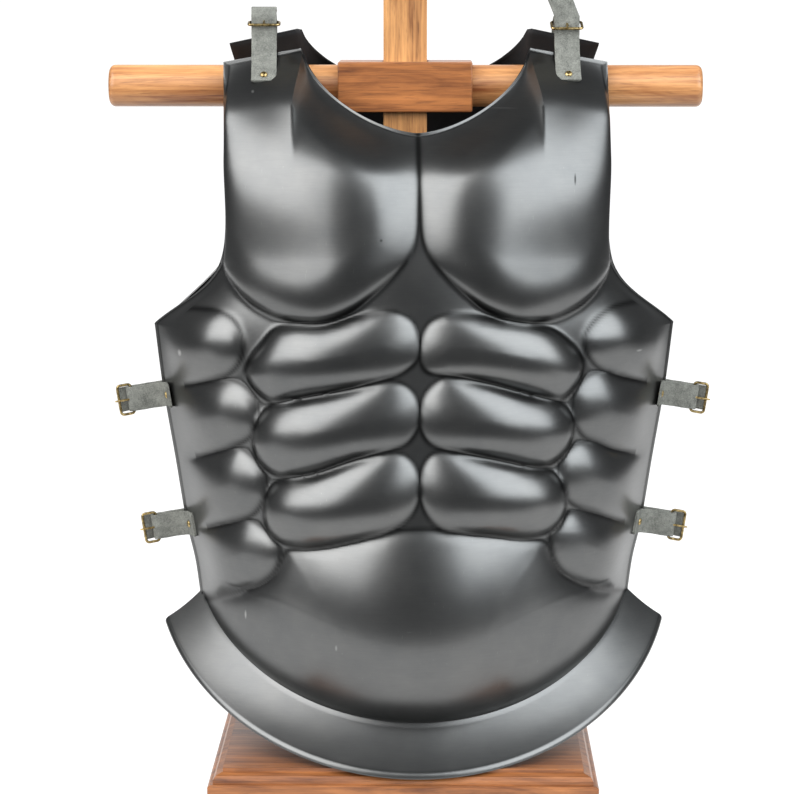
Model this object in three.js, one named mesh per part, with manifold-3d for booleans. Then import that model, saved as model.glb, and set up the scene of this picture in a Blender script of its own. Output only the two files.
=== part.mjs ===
// Muscle cuirass on a wooden T stand: a blackened steel front plate and back plate, joined by two
// shoulder straps and four side straps, hanging from the stand's crossbar.
// Millimetres, +Z up. The origin is the middle of the underside of the stand's base.
// The cuirass faces -Y.
import * as THREE from 'three';
import { mergeVertices } from 'three/addons/utils/BufferGeometryUtils.js';
import Module from 'manifold-3d';

const wasm = await Module();
wasm.setup();

// Stand
const baseWidth = 305;
const baseHeight = 32;
const baseFascia = 19;
const baseStep = 4;
const baseTopInset = 11.5;
const postSize = 34.5;
const postRise = 120;
const tenonLength = 20;
const barLength = 475;
const barDiameter = 33.5;
const barEndRadius = 5;
const blockLength = 107;
const blockHeight = 39.5;
const blockDepth = 54;

// How the cuirass hangs: how high the front of its waist is, turned a little on the stand, and a little to
// one side of the post
const waistZ = 63;
const turn = THREE.MathUtils.degToRad(2.2);
const shift = 7.5;
const fit = 0.3;

// Both plates
const plateWall = 1.2;
const chestWidth = 419;
const frontHeight = 525;
const wrap = THREE.MathUtils.degToRad(72);

// Front plate
const frontDepth = 142;
const neckWidth = 179;
const neckDepth = 64;
const shoulderWidth = 302;
const shoulderRise = 31;
const shoulderDrop = 11;
const flangeReach = 35;
const flangeSide = 30;
const flangeFall = 33;
const rimTurn = 3;

// Back plate
const backDepth = 118;
const backNeckWidth = 182;
const backNeckDepth = 50;
const backShoulderWidth = 294;
const backRise = 46;
const backDrop = 12;
const backLean = 19;
const backTuck = 5;
const seamGap = 4;
const bearingAngle = THREE.MathUtils.degToRad(25);

// Straps
const strapWidth = 20;
const strapWall = 2.2;
const strapOverlap = 9;
const rivetInset = 9;
const shoulderStrapX = 120;
const shoulderRivetDrop = 22;
const upperStrapHeight = 0.467;
const lowerStrapHeight = 0.265;
const sideReach = 29;
const shoulderStrapRoom = 3.5;
const freeEndRise = 44;
const freeEndLean = 0.4;
const straightRise = 6;
const holeDiameter = 3;

// Buckles and rivets
const wireDiameter = 2.2;
const tongueDiameter = 1.8;
const tongueReach = 2.5;
const foldRoom = 1;
const buckleCorner = 2.5;
const buckleWidth = 26.2;
const buckleLength = 11;
const buckleTilt = THREE.MathUtils.degToRad(9);
const rivetHead = 6;
const rivetRise = 1.4;
const rivetShank = 2.6;
const rivetTail = 5;
const rivetTailWall = 1;

// Sizes that follow from those above
const barRadius = barDiameter / 2;
const halfChest = chestWidth / 2;
const topZ = waistZ + frontHeight;
const barHeight = topZ - shoulderRise;
const turnAllowance = Math.sin(turn) * shoulderWidth / 2;
const standoff = barRadius + fit + plateWall + turnAllowance;
const wire = wireDiameter / 2;
const tongue = tongueDiameter / 2;
const halfStrap = strapWall / 2;

// Sections of the front plate below its top edge. z is a share of frontHeight above the front of the waist,
// given at the middle, at the outer end of the abdominal blocks, at the inner end of the side blocks and at
// the plate's edge; half is a share of half the chest width; front and edge are shares of frontDepth; rows
// is the number of grid rows up to the section before.
const frontSections = [
  {
    name: 'chest',
    middle: 0.810, block: 0.826, side: 0.832, rim: 0.842,
    half: 0.716, front: 0.80, edge: 0.34, rows: 3,
  },
  {
    name: 'breast foot',
    middle: 0.703, block: 0.608, side: 0.618, rim: 0.680,
    half: 0.737, front: 0.89, edge: 0.27, rows: 4,
  },
  {
    name: 'first row',
    middle: 0.608, block: 0.592, side: 0.588, rim: 0.577,
    half: 1.000, front: 0.92, edge: 0, rows: 2,
  },
  {
    name: 'second row',
    middle: 0.530, block: 0.484, side: 0.518, rim: 0.482,
    half: 0.972, front: 0.94, edge: 0, rows: 4,
  },
  {
    name: 'third row',
    middle: 0.420, block: 0.372, side: 0.418, rim: 0.368,
    half: 0.926, front: 0.96, edge: 0, rows: 4,
  },
  {
    name: 'belly top',
    middle: 0.302, block: 0.270, side: 0.306, rim: 0.262,
    half: 0.884, front: 0.98, edge: 0, rows: 4,
  },
  {
    name: 'belly',
    middle: 0.130, block: 0.180, side: 0.190, rim: 0.205,
    half: 0.852, front: 0.98, edge: 0, rows: 3,
  },
];
const frontWaist = { half: 0.835, front: 0.845, rise: 0.156, rows: 3 };

// The same for the back plate, with depths as shares of backDepth
const backSections = [
  {
    name: 'blade',
    middle: 0.800, block: 0.800, side: 0.800, rim: 0.800,
    half: 0.700, front: 0.92, edge: 0.36, rows: 2,
  },
  {
    name: 'arm',
    middle: 0.690, block: 0.690, side: 0.690, rim: 0.690,
    half: 0.730, front: 1.00, edge: 0.24, rows: 3,
  },
  {
    name: 'armpit',
    middle: 0.577, block: 0.577, side: 0.577, rim: 0.577,
    half: 1.000, front: 0.98, edge: 0, rows: 3,
  },
  {
    name: 'ribs',
    middle: 0.420, block: 0.420, side: 0.420, rim: 0.420,
    half: 0.950, front: 0.86, edge: 0, rows: 2,
  },
  {
    name: 'small',
    middle: 0.250, block: 0.255, side: 0.258, rim: 0.270,
    half: 0.885, front: 0.72, edge: 0, rows: 2,
  },
];
const backWaist = { half: 0.835, front: 0.76, rise: 0.100, lift: 0.056, rows: 2 };

// Muscles hammered out of the front plate, for one side. Each is a capsule from its inner end to its outer
// end: x is a share of half the chest width, z a share of frontHeight, and the radius at each end and the
// lift are shares of frontDepth.
const muscles = [
  { name: 'abdominal 1', x: 0.148, z: 0.573, r: 0.197,
    outX: 0.496, outZ: 0.541, outR: 0.211, lift: 0.095 },
  { name: 'abdominal 2', x: 0.138, z: 0.470, r: 0.201,
    outX: 0.444, outZ: 0.429, outR: 0.215, lift: 0.095 },
  { name: 'abdominal 3', x: 0.143, z: 0.356, r: 0.208,
    outX: 0.420, outZ: 0.322, outR: 0.201, lift: 0.095 },
  { name: 'side 1', x: 0.773, z: 0.556, r: 0.197,
    outX: 0.954, outZ: 0.543, outR: 0.197, lift: 0.085 },
  { name: 'side 2', x: 0.715, z: 0.459, r: 0.201,
    outX: 0.930, outZ: 0.429, outR: 0.197, lift: 0.085 },
  { name: 'side 3', x: 0.672, z: 0.356, r: 0.204,
    outX: 0.897, outZ: 0.322, outR: 0.197, lift: 0.085 },
  { name: 'side 4', x: 0.629, z: 0.253, r: 0.204,
    outX: 0.858, outZ: 0.204, outR: 0.169, lift: 0.085 },
];
const breast = {
  x: 0.372,
  z: 0.771,
  inner: 0.377,
  outer: 0.429,
  below: 0.170,
  above: 0.286,
  power: 1.9,
  lift: 0.15,
};
const belly = { z: 0.137, half: 0.820, above: 0.177, below: 0.152, lift: 0.105 };
const spine = { half: 0.22, lift: 0.06 };
const blades = { x: 0.36, z: 0.72, half: 0.34, height: 0.17, lift: 0.07 };

// Colours and finishes
const steel = new THREE.MeshStandardMaterial({ color: 0x34363a, roughness: 0.38, metalness: 0.9 });
const leather = new THREE.MeshStandardMaterial({ color: 0x6f6e68, roughness: 0.85, metalness: 0 });
const brass = new THREE.MeshStandardMaterial({ color: 0xb59a58, roughness: 0.35, metalness: 0.9 });
const wood = new THREE.MeshStandardMaterial({ color: 0xb9743f, roughness: 0.45, metalness: 0 });

const stand = new THREE.Group();
const cuirass = new THREE.Group();
cuirass.position.set(shift, 0, 0);
cuirass.rotation.z = turn;
const model = new THREE.Group();
model.add(stand, cuirass);

function smooth(t) {
  const c = THREE.MathUtils.clamp(t, 0, 1);
  return c * c * (3 - 2 * c);
}

function addMesh(group, name, geometry, material) {
  const mesh = new THREE.Mesh(geometry, material);
  mesh.name = name;
  group.add(mesh);
  return mesh;
}

// Solids for joining and cutting
function toSolid(geometry) {
  const bare = geometry.clone();
  bare.deleteAttribute('normal');
  bare.deleteAttribute('uv');
  const merged = mergeVertices(bare, 1e-4);
  return new wasm.Manifold(new wasm.Mesh({
    numProp: 3,
    vertProperties: new Float32Array(merged.attributes.position.array),
    triVerts: new Uint32Array(merged.index.array),
  }));
}

function toGeometry(solid) {
  const mesh = solid.getMesh();
  const geometry = new THREE.BufferGeometry();
  geometry.setAttribute('position', new THREE.BufferAttribute(mesh.vertProperties, 3));
  geometry.setIndex(new THREE.BufferAttribute(mesh.triVerts, 1));
  return geometry;
}

function cut(geometry, cutters) {
  let solid = toSolid(geometry);
  for (const cutter of cutters) {
    solid = solid.subtract(toSolid(cutter));
  }
  return toGeometry(solid);
}

// Plates

// Point across a plate: u runs from -1 to 1 over the wrap angle; x is a share of the half width and depth
// is 1 at the middle and 0 at the edge.
function across(u) {
  const angle = u * wrap;
  return {
    x: Math.sin(angle) / Math.sin(wrap),
    depth: (Math.cos(angle) - Math.cos(wrap)) / (1 - Math.cos(wrap)),
  };
}

// Places across a plate where the muscle rows step: outer end of the blocks, inner end of the sides
const blockShare = 0.525;
const sideShare = 0.575;

function sectionHeight(section, u) {
  const a = Math.abs(u);
  if (a < blockShare) {
    return THREE.MathUtils.lerp(section.middle, section.block, smooth(a / blockShare));
  }
  if (a < sideShare) {
    const t = (a - blockShare) / (sideShare - blockShare);
    return THREE.MathUtils.lerp(section.block, section.side, smooth(t));
  }
  return THREE.MathUtils.lerp(section.side, section.rim, smooth((a - sideShare) / (1 - sideShare)));
}

// Top edge of a plate: a rounded neckline between two sloping shoulders. How far the neckline has dropped
// also says how far the edge has moved away from the shoulder line.
function topPoint(top, u) {
  const x = across(u).x * top.halfShoulder;
  const beyond = Math.abs(x) - top.halfNeck;
  if (beyond >= 0) {
    const slope = beyond / (top.halfShoulder - top.halfNeck);
    return new THREE.Vector3(x, top.y, top.z - top.drop * slope);
  }
  const bend = 1.6;
  const fall = Math.pow(1 - Math.pow(Math.abs(x) / top.halfNeck, bend), 1 / bend);
  return new THREE.Vector3(x, top.y + top.out * Math.pow(fall, 0.9), top.z - top.neckDepth * fall);
}

// Waist crease and flange rim: flat cuts, highest at the plate's edge
function waistPoint(half, depth, lowZ, rise, edgeY, u) {
  const a = across(u);
  return new THREE.Vector3(a.x * half, edgeY + depth * a.depth, lowZ + rise * (1 - a.depth));
}

// Smooth curve through one column's points. At a corner point the two sides meet at an angle, the more so
// the nearer the column is to the plate's edge.
function columnPoint(points, corner, sharpness, k, t) {
  const span = i => Math.sqrt(points[i].distanceTo(points[i + 1]));
  const slope = (i, toward) => {
    const last = points.length - 1;
    const ahead = i < last ? points[i + 1].clone().sub(points[i]).divideScalar(span(i)) : null;
    const behind = i > 0 ? points[i].clone().sub(points[i - 1]).divideScalar(span(i - 1)) : null;
    if (!ahead) {
      return behind;
    }
    if (!behind) {
      return ahead;
    }
    const h0 = span(i - 1);
    const h1 = span(i);
    const even = behind.clone().multiplyScalar(h1).addScaledVector(ahead, h0).divideScalar(h0 + h1);
    const sharp = toward > 0 ? ahead : behind;
    return even.lerp(sharp, i === corner ? sharpness : 0);
  };
  const h = span(k);
  const t2 = t * t;
  const t3 = t2 * t;
  return points[k].clone().multiplyScalar(2 * t3 - 3 * t2 + 1)
    .addScaledVector(slope(k, 1), (t3 - 2 * t2 + t) * h)
    .addScaledVector(points[k + 1], 3 * t2 - 2 * t3)
    .addScaledVector(slope(k + 1, -1), (t3 - t2) * h);
}

// Columns of a plate: even steps between the stops, one of which is the neck's corner
function columnShares(top, inner, outer) {
  const corner = Math.asin(top.halfNeck / top.halfShoulder * Math.sin(wrap)) / wrap;
  const half = [];
  for (let i = 1; i <= inner; i += 1) {
    half.push(corner * i / inner);
  }
  for (let i = 1; i <= outer; i += 1) {
    half.push(corner + (1 - corner) * i / outer);
  }
  return [...half.map(u => -u).reverse(), 0, ...half];
}

// Closed sheet of even wall from a grid of points on its outer face
function shell(grid, facing) {
  const rows = grid.length;
  const columns = grid[0].length;
  const outer = new THREE.BufferGeometry().setFromPoints(grid.flat());
  const at = (r, c) => r * columns + c;
  const faces = [];
  const quad = (a, b, c, d) => (facing > 0 ? faces.push(a, b, c, a, c, d) : faces.push(a, c, b, a, d, c));
  for (let r = 0; r < rows - 1; r += 1) {
    for (let c = 0; c < columns - 1; c += 1) {
      quad(at(r, c), at(r + 1, c), at(r + 1, c + 1), at(r, c + 1));
    }
  }
  outer.setIndex([...faces]);
  outer.computeVertexNormals();
  const points = grid.flat();
  const normals = outer.attributes.normal;
  const inner = points.map((point, i) => {
    const normal = new THREE.Vector3().fromBufferAttribute(normals, i);
    return point.clone().addScaledVector(normal, -plateWall);
  });
  const count = points.length;
  const back = (a, b, c, d) => quad(count + a, count + d, count + c, count + b);
  for (let r = 0; r < rows - 1; r += 1) {
    for (let c = 0; c < columns - 1; c += 1) {
      back(at(r, c), at(r + 1, c), at(r + 1, c + 1), at(r, c + 1));
    }
  }
  const rim = (a, b) => quad(a, b, count + b, count + a);
  for (let c = 0; c < columns - 1; c += 1) {
    rim(at(0, c), at(0, c + 1));
    rim(at(rows - 1, c + 1), at(rows - 1, c));
  }
  for (let r = 0; r < rows - 1; r += 1) {
    rim(at(r + 1, 0), at(r, 0));
    rim(at(r, columns - 1), at(r + 1, columns - 1));
  }
  const geometry = new THREE.BufferGeometry().setFromPoints([...points, ...inner]);
  geometry.setIndex(faces);
  return geometry;
}

// Rounded swelling: full in the middle, steep at its edge, nothing outside it
function swell(distance, steepness) {
  return distance < 1 ? Math.pow(1 - distance * distance, steepness) : 0;
}

function capsuleDistance(muscle, x, z) {
  const ax = muscle.x * halfChest;
  const az = muscle.z * frontHeight;
  const dx = muscle.outX * halfChest - ax;
  const dz = muscle.outZ * frontHeight - az;
  const t = THREE.MathUtils.clamp(((x - ax) * dx + (z - az) * dz) / (dx * dx + dz * dz), 0, 1);
  const radius = THREE.MathUtils.lerp(muscle.r, muscle.outR, t) * frontDepth;
  return Math.hypot(x - ax - t * dx, z - az - t * dz) / radius;
}

// How far the front plate is raised at a place, where z is measured from the front of the waist
function frontRelief(x, z) {
  const side = Math.abs(x);
  let raised = 0;
  for (const muscle of muscles) {
    raised = Math.max(raised, muscle.lift * swell(capsuleDistance(muscle, side, z), 0.55));
  }
  const aside = side - breast.x * halfChest;
  const up = z - breast.z * frontHeight;
  const dx = Math.abs(aside) / ((aside < 0 ? breast.inner : breast.outer) * halfChest);
  const dz = Math.abs(up) / ((up < 0 ? breast.below : breast.above) * frontHeight);
  const breastDistance = Math.pow(Math.pow(dx, breast.power) + Math.pow(dz, breast.power), 1 / breast.power);
  const soften = up > 0 ? 0.6 + 0.9 * smooth(dz) : 0.6;
  raised = Math.max(raised, breast.lift * swell(breastDistance, soften));
  const fall = z - belly.z * frontHeight;
  const reach = (fall > 0 ? belly.above : belly.below) * frontHeight;
  const bellyDistance = Math.hypot(side / (belly.half * halfChest), fall / reach);
  raised = Math.max(raised, belly.lift * swell(bellyDistance, 0.6));
  return raised * frontDepth;
}

// How far the back plate is raised: shoulder blades either side of a shallow spine
function backRelief(x, z) {
  const side = Math.abs(x);
  const dx = (side - blades.x * halfChest) / (blades.half * halfChest);
  const dz = (z - blades.z * frontHeight) / (blades.height * frontHeight);
  const blade = blades.lift * swell(Math.hypot(dx, dz), 1.5);
  const furrow = spine.lift * swell(side / (spine.half * halfChest), 2) * smooth(z / (0.3 * frontHeight));
  return (blade - furrow) * backDepth;
}

// One plate as a closed shell. sign is -1 for the front and 1 for the back.
function plate({ sections, waist, top, depth, sign, halfWaist, edgeY, rim, relief, columns }) {
  const sine = Math.sin(wrap);
  const cosine = Math.cos(wrap);
  const corner = 1 + (top.extra ? 1 : 0) + sections.findIndex(s => s.half === 1);
  const counts = [...(top.extra ? [3] : []), ...sections.map(s => s.rows), waist.rows];
  const columnPoints = u => {
    const a = across(u);
    const points = [topPoint(top, u)];
    if (top.extra) {
      points.push(top.extra(u));
    }
    for (const section of sections) {
      const half = section.half * halfChest - (section.tuck ?? top.tuck);
      const out = sign * depth * THREE.MathUtils.lerp(section.edge, section.front, a.depth);
      const z = waistZ + frontHeight * sectionHeight(section, u);
      points.push(new THREE.Vector3(a.x * half, edgeY + out, z));
    }
    const low = waistZ + frontHeight * (waist.lift ?? 0);
    points.push(waistPoint(halfWaist, sign * depth * waist.front, low, waist.rise * frontHeight, edgeY, u));
    return points;
  };
  const grid = [];
  const steps = [[0, 0, 1]];
  counts.forEach((count, k) => {
    for (let j = 1; j <= count; j += 1) {
      steps.push([k, j / count, k === counts.length - 1 ? j / count : 0]);
    }
  });
  for (const [k, t, last] of steps) {
    grid.push(columns.map(u => {
      const point = columnPoint(columnPoints(u), corner, smooth(5 * Math.abs(u) - 4), k, t);
      const angle = u * wrap;
      const normal = new THREE.Vector3(
        Math.sin(angle) * sine / halfChest,
        sign * Math.cos(angle) * (1 - cosine) / depth,
        0,
      ).normalize();
      const foot = k === counts.length - 1 ? Math.pow(1 - Math.pow(last, 3), 0.6) : 1;
      const fade = (1 - Math.pow(Math.abs(u), 8)) * foot;
      return point.addScaledVector(normal, fade * relief(point.x, point.z - waistZ));
    }));
  }
  grid.push(columns.map(rim));
  grid.push(columns.map(u => rim(u).add(new THREE.Vector3(0, 0, -rimTurn))));
  return shell(grid, sign < 0 ? 1 : -1);
}

const halfWaist = frontWaist.half * halfChest;
const frontTop = {
  halfShoulder: shoulderWidth / 2,
  halfNeck: neckWidth / 2,
  neckDepth,
  drop: shoulderDrop,
  y: -standoff,
  out: -0.42 * frontDepth,
  z: topZ,
  tuck: 0,
};
const breastplateGeometry = plate({
  sections: frontSections,
  waist: frontWaist,
  top: frontTop,
  depth: frontDepth,
  sign: -1,
  halfWaist,
  edgeY: 0,
  relief: frontRelief,
  columns: columnShares(frontTop, 7, 7),
  rim: u => waistPoint(
    halfWaist + flangeSide,
    -frontWaist.front * frontDepth - flangeReach,
    waistZ - flangeFall,
    frontWaist.rise * frontHeight + flangeFall - 0.8 * flangeSide,
    0,
    u,
  ),
});

// The back plate bears on the upper back of the bar, and its shoulders lean forward over it
const bearing = barRadius + fit + plateWall;
const bearingY = bearing * Math.cos(bearingAngle) + turnAllowance;
const backTop = {
  halfShoulder: backShoulderWidth / 2,
  halfNeck: backNeckWidth / 2,
  neckDepth: backNeckDepth,
  drop: backDrop,
  y: bearingY - backLean,
  out: 0.55 * backDepth,
  z: barHeight + backRise,
  tuck: backTuck,
  extra: u => {
    const edge = topPoint(backTop, u);
    const z = Math.min(barHeight + bearing * Math.sin(bearingAngle), edge.z - backDrop);
    return new THREE.Vector3(edge.x * 0.96, Math.max(edge.y + backLean, bearingY), z);
  },
};
const backHalfWaist = halfWaist - backTuck;
const backplateGeometry = plate({
  sections: backSections,
  waist: backWaist,
  top: backTop,
  depth: backDepth,
  sign: 1,
  halfWaist: backHalfWaist,
  edgeY: seamGap,
  relief: backRelief,
  columns: columnShares(backTop, 5, 4),
  rim: u => waistPoint(
    backHalfWaist + flangeSide,
    backWaist.front * backDepth + flangeReach,
    waistZ + backWaist.lift * frontHeight - flangeFall,
    backWaist.rise * frontHeight + flangeFall - 0.8 * flangeSide,
    seamGap,
    u,
  ),
});

// Stand

// Square base turned like a lathe profile with four sides, so that its mouldings are mitred
function squareBase() {
  const half = baseWidth / 2;
  const rows = [
    [0, 0],
    [half, 0],
    [half, baseFascia],
    [half - 0.4 * baseStep, baseFascia + 0.4 * baseStep],
    [half - baseStep, baseFascia + 0.4 * baseStep],
    [half - baseStep, baseFascia + 1.2 * baseStep],
    [half - 1.5 * baseStep, baseFascia + 2 * baseStep],
    [half - baseTopInset, baseHeight - 0.75 * baseStep],
    [half - baseTopInset, baseHeight],
    [0, baseHeight],
  ];
  const geometry = new THREE.LatheGeometry(rows.map(([r, z]) => new THREE.Vector2(r * Math.SQRT2, z)), 4);
  geometry.rotateX(Math.PI / 2);
  geometry.rotateZ(Math.PI / 4);
  const mortise = new THREE.BoxGeometry(postSize + 2 * fit, postSize + 2 * fit, tenonLength * 2);
  mortise.translate(0, 0, baseHeight);
  return cut(geometry, [mortise]);
}

function post() {
  const foot = baseHeight - tenonLength + fit;
  const height = barHeight + postRise - foot;
  const geometry = new THREE.BoxGeometry(postSize, postSize, height);
  geometry.translate(0, 0, foot + height / 2);
  return geometry;
}

// Round bar with a square block at its middle and rounded ends
function crossbar() {
  const half = barLength / 2;
  const profile = [new THREE.Vector2(0, -half)];
  for (const end of [-1, 1]) {
    for (let i = 0; i <= 3; i += 1) {
      const angle = (end < 0 ? i / 3 : 1 - i / 3) * Math.PI / 2;
      const r = barRadius - barEndRadius + barEndRadius * Math.sin(angle);
      profile.push(new THREE.Vector2(r, end * (half - barEndRadius + barEndRadius * Math.cos(angle))));
    }
  }
  profile.push(new THREE.Vector2(0, half));
  const bar = new THREE.LatheGeometry(profile, 18);
  bar.rotateZ(-Math.PI / 2);
  const block = new THREE.BoxGeometry(blockLength, blockDepth, blockHeight);
  const hole = new THREE.BoxGeometry(postSize + 2 * fit, postSize + 2 * fit, 3 * blockHeight);
  const geometry = toGeometry(toSolid(bar).add(toSolid(block)).subtract(toSolid(hole)));
  geometry.translate(0, 0, barHeight);
  return geometry;
}

// Leather straps, buckles and rivets

// Places on a plate: the first hit of a ray, with the face's normal
function findSurface(mesh, from, toward) {
  const ray = new THREE.Raycaster(from, toward.clone().normalize());
  const [hit] = ray.intersectObject(mesh);
  return { point: hit.point, normal: hit.face.normal.clone() };
}

// How far a plate stands proud of a flat footprint, measured along the footprint's normal
function proudHeight(mesh, origin, along, width, normal, length) {
  let highest = 0;
  const steps = 4;
  for (let i = 0; i <= steps; i += 1) {
    for (let j = 0; j <= steps; j += 1) {
      const from = origin.clone()
        .addScaledVector(along, (i / steps - 0.5) * 2 * length)
        .addScaledVector(width, (j / steps - 0.5) * strapWidth)
        .addScaledVector(normal, frontDepth);
      const ray = new THREE.Raycaster(from, normal.clone().negate());
      const [hit] = ray.intersectObject(mesh);
      if (hit) {
        highest = Math.max(highest, frontDepth - hit.distance);
      }
    }
  }
  return highest;
}

// Depth from a rivet's head down to the plate's inner face, at its deepest under the rivet's tail
function innerDepth(mesh, head, along, normal) {
  const steps = 12;
  const sideways = new THREE.Vector3().crossVectors(along, normal);
  let deepest = 0;
  for (let i = 0; i < steps; i += 1) {
    const angle = 2 * Math.PI * i / steps;
    const from = head.clone()
      .addScaledVector(along, (rivetTail / 2 + fit) * Math.cos(angle))
      .addScaledVector(sideways, (rivetTail / 2 + fit) * Math.sin(angle))
      .addScaledVector(normal, frontDepth);
    const hits = new THREE.Raycaster(from, normal.clone().negate()).intersectObject(mesh);
    if (hits.length > 1) {
      deepest = Math.max(deepest, hits[1].distance - frontDepth);
    }
  }
  return deepest;
}

// A strap set lies in one plane: p and q are the plane's axes and w is the direction across the strap
function frameMatrix({ origin, p, q, w }) {
  return new THREE.Matrix4().makeBasis(p, q, w).setPosition(origin);
}

// Leather strap: an even wall along a smooth line through the given points, as wide as the strap. Above a
// height in its frame it leans sideways.
function strapGeometry(frame, points, lean = { height: 0, slope: 0 }) {
  const steps = 2 * (points.length - 1);
  const flatPoints = points.map(([p, q]) => new THREE.Vector3(p, q, 0));
  const line = new THREE.CatmullRomCurve3(flatPoints, false, 'centripetal');
  const corners = [];
  for (let i = 0; i <= steps; i += 1) {
    const point = line.getPoint(i / steps);
    const tangent = line.getTangent(i / steps);
    const aside = lean.slope * Math.max(point.x - lean.height, 0);
    for (const [out, edge] of [[1, 1], [-1, 1], [-1, -1], [1, -1]]) {
      corners.push(new THREE.Vector3(
        point.x - out * tangent.y * halfStrap,
        point.y + out * tangent.x * halfStrap,
        aside + edge * strapWidth / 2,
      ));
    }
  }
  const last = 4 * steps;
  const faces = [0, 3, 2, 0, 2, 1, last, last + 1, last + 2, last, last + 2, last + 3];
  for (let i = 0; i < last; i += 4) {
    for (let k = 0; k < 4; k += 1) {
      const next = (k + 1) % 4;
      faces.push(i + k, i + next, i + 4 + next, i + k, i + 4 + next, i + 4 + k);
    }
  }
  const geometry = new THREE.BufferGeometry().setFromPoints(corners);
  geometry.setIndex(faces);
  return geometry.applyMatrix4(frameMatrix(frame));
}

// Turn from a lathe's own axis to a direction
function upTo(direction) {
  return new THREE.Quaternion().setFromUnitVectors(new THREE.Vector3(0, 1, 0), direction);
}

function rod(from, to, radius) {
  const axis = to.clone().sub(from);
  const geometry = new THREE.CylinderGeometry(radius, radius, axis.length(), 7);
  geometry.translate(0, axis.length() / 2, 0);
  geometry.applyQuaternion(upTo(axis.normalize()));
  return geometry.translate(from.x, from.y, from.z);
}

// Rivet with a domed head outside, a shank through leather and plate, and a flat tail inside
function rivetGeometry(seat, grip) {
  const profile = [
    [0, -grip - rivetTailWall],
    [rivetTail / 2, -grip - rivetTailWall],
    [rivetTail / 2, -grip],
    [rivetShank / 2, -grip],
    [rivetShank / 2, 0],
    [rivetHead / 2, 0],
    [rivetHead * 0.36, rivetRise * 0.75],
    [0, rivetRise],
  ];
  const geometry = new THREE.LatheGeometry(profile.map(([r, y]) => new THREE.Vector2(r, y)), 7);
  geometry.applyQuaternion(upTo(seat.normal));
  return geometry.translate(seat.head.x, seat.head.y, seat.head.z);
}

// Wire frame of a buckle between its near bar and far bar, as a closed ring with rounded corners
function buckleGeometry(frame, near, far) {
  const half = buckleWidth / 2 - wire;
  const along = new THREE.Vector2(far[0] - near[0], far[1] - near[1]);
  const length = along.length();
  const ring = [];
  for (const [p, w, start] of [[length, half, 0], [0, half, 1], [0, -half, 2], [length, -half, 3]]) {
    const centre = [p - Math.sign(p - length / 2) * buckleCorner, w - Math.sign(w) * buckleCorner];
    for (const step of [0, 0.5, 1]) {
      const angle = (start + step) * Math.PI / 2;
      ring.push([centre[0] + buckleCorner * Math.cos(angle), centre[1] + buckleCorner * Math.sin(angle)]);
    }
  }
  along.normalize();
  const matrix = frameMatrix(frame);
  const points = ring.map(([p, w]) => new THREE.Vector3(near[0] + along.x * p, near[1] + along.y * p, w));
  const path = new THREE.CurvePath();
  points.forEach((point, i) => path.add(new THREE.LineCurve3(point, points[(i + 1) % points.length])));
  const segments = 18;
  const loop = new THREE.CatmullRomCurve3(path.getSpacedPoints(segments).slice(0, -1), true, 'centripetal');
  return new THREE.TubeGeometry(loop, segments, wire, 5, true).applyMatrix4(matrix);
}

// Point beside a buckle: a is the distance from the near bar toward the far bar, s the height over the wires
function besideBuckle(near, far, over) {
  const along = new THREE.Vector2(far[0] - near[0], far[1] - near[1]).normalize();
  const side = new THREE.Vector2(-along.y, along.x).multiplyScalar(over);
  return (a, s) => new THREE.Vector3(
    near[0] + along.x * a + side.x * s,
    near[1] + along.y * a + side.y * s,
    0,
  );
}

// Buckle tongue: hooked round the near bar and lying over the far bar
function tongueGeometry(frame, near, far, over) {
  const clear = wire + fit + tongue;
  const reach = Math.hypot(far[0] - near[0], far[1] - near[1]) + wire + tongueReach;
  const at = besideBuckle(near, far, over);
  const diagonal = clear * Math.SQRT1_2;
  const path = [
    at(0, -clear),
    at(-diagonal, -diagonal),
    at(-clear, 0),
    at(-diagonal, diagonal),
    at(0, clear),
    at(reach, clear),
  ];
  const curve = new THREE.CatmullRomCurve3(path, false, 'centripetal');
  const circle = new THREE.Shape().absarc(0, 0, tongue, 0, 2 * Math.PI);
  const geometry = new THREE.ExtrudeGeometry(circle, { extrudePath: curve, steps: 8, curveSegments: 3 });
  return geometry.applyMatrix4(frameMatrix(frame));
}

// A strap's seat on a plate: the place of its rivet, its flat directions and the line of its middle
function seatOn(mesh, frame, hit, towardEdge) {
  const normal = hit.normal.clone().addScaledVector(frame.w, -hit.normal.dot(frame.w)).normalize();
  const along = new THREE.Vector3().crossVectors(frame.w, normal);
  if (along.dot(towardEdge) < 0) {
    along.negate();
  }
  const proud = proudHeight(mesh, hit.point, along, frame.w, normal, strapOverlap);
  const middle = hit.point.clone().addScaledVector(normal, proud + fit + halfStrap);
  const inverse = frameMatrix(frame).invert();
  const flat = distance => {
    const point = middle.clone().addScaledVector(along, distance).applyMatrix4(inverse);
    return [point.x, point.y];
  };
  const head = middle.clone().addScaledVector(normal, halfStrap + fit);
  return { normal, along, flat, head, grip: innerDepth(mesh, head, along, normal) + fit };
}

function rivetHole(seat) {
  const out = seat.head.clone().addScaledVector(seat.normal, rivetHead);
  const into = seat.head.clone().addScaledVector(seat.normal, -seat.grip - rivetHead);
  return rod(out, into, rivetShank / 2 + fit);
}

// Slot in the fold of the leather, for the tongue
function tongueSlot(frame, near, far) {
  const behind = wire + 2 * tongue + 3 * fit;
  const ahead = wire + strapWall + wireDiameter;
  const slot = new THREE.BoxGeometry(behind + ahead, 2 * ahead + wireDiameter, 2 * (tongue + fit));
  slot.translate((ahead - behind) / 2, 0, 0);
  slot.rotateZ(Math.atan2(far[1] - near[1], far[0] - near[0]));
  slot.translate(near[0], near[1], 0);
  return slot.applyMatrix4(frameMatrix(frame));
}

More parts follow.
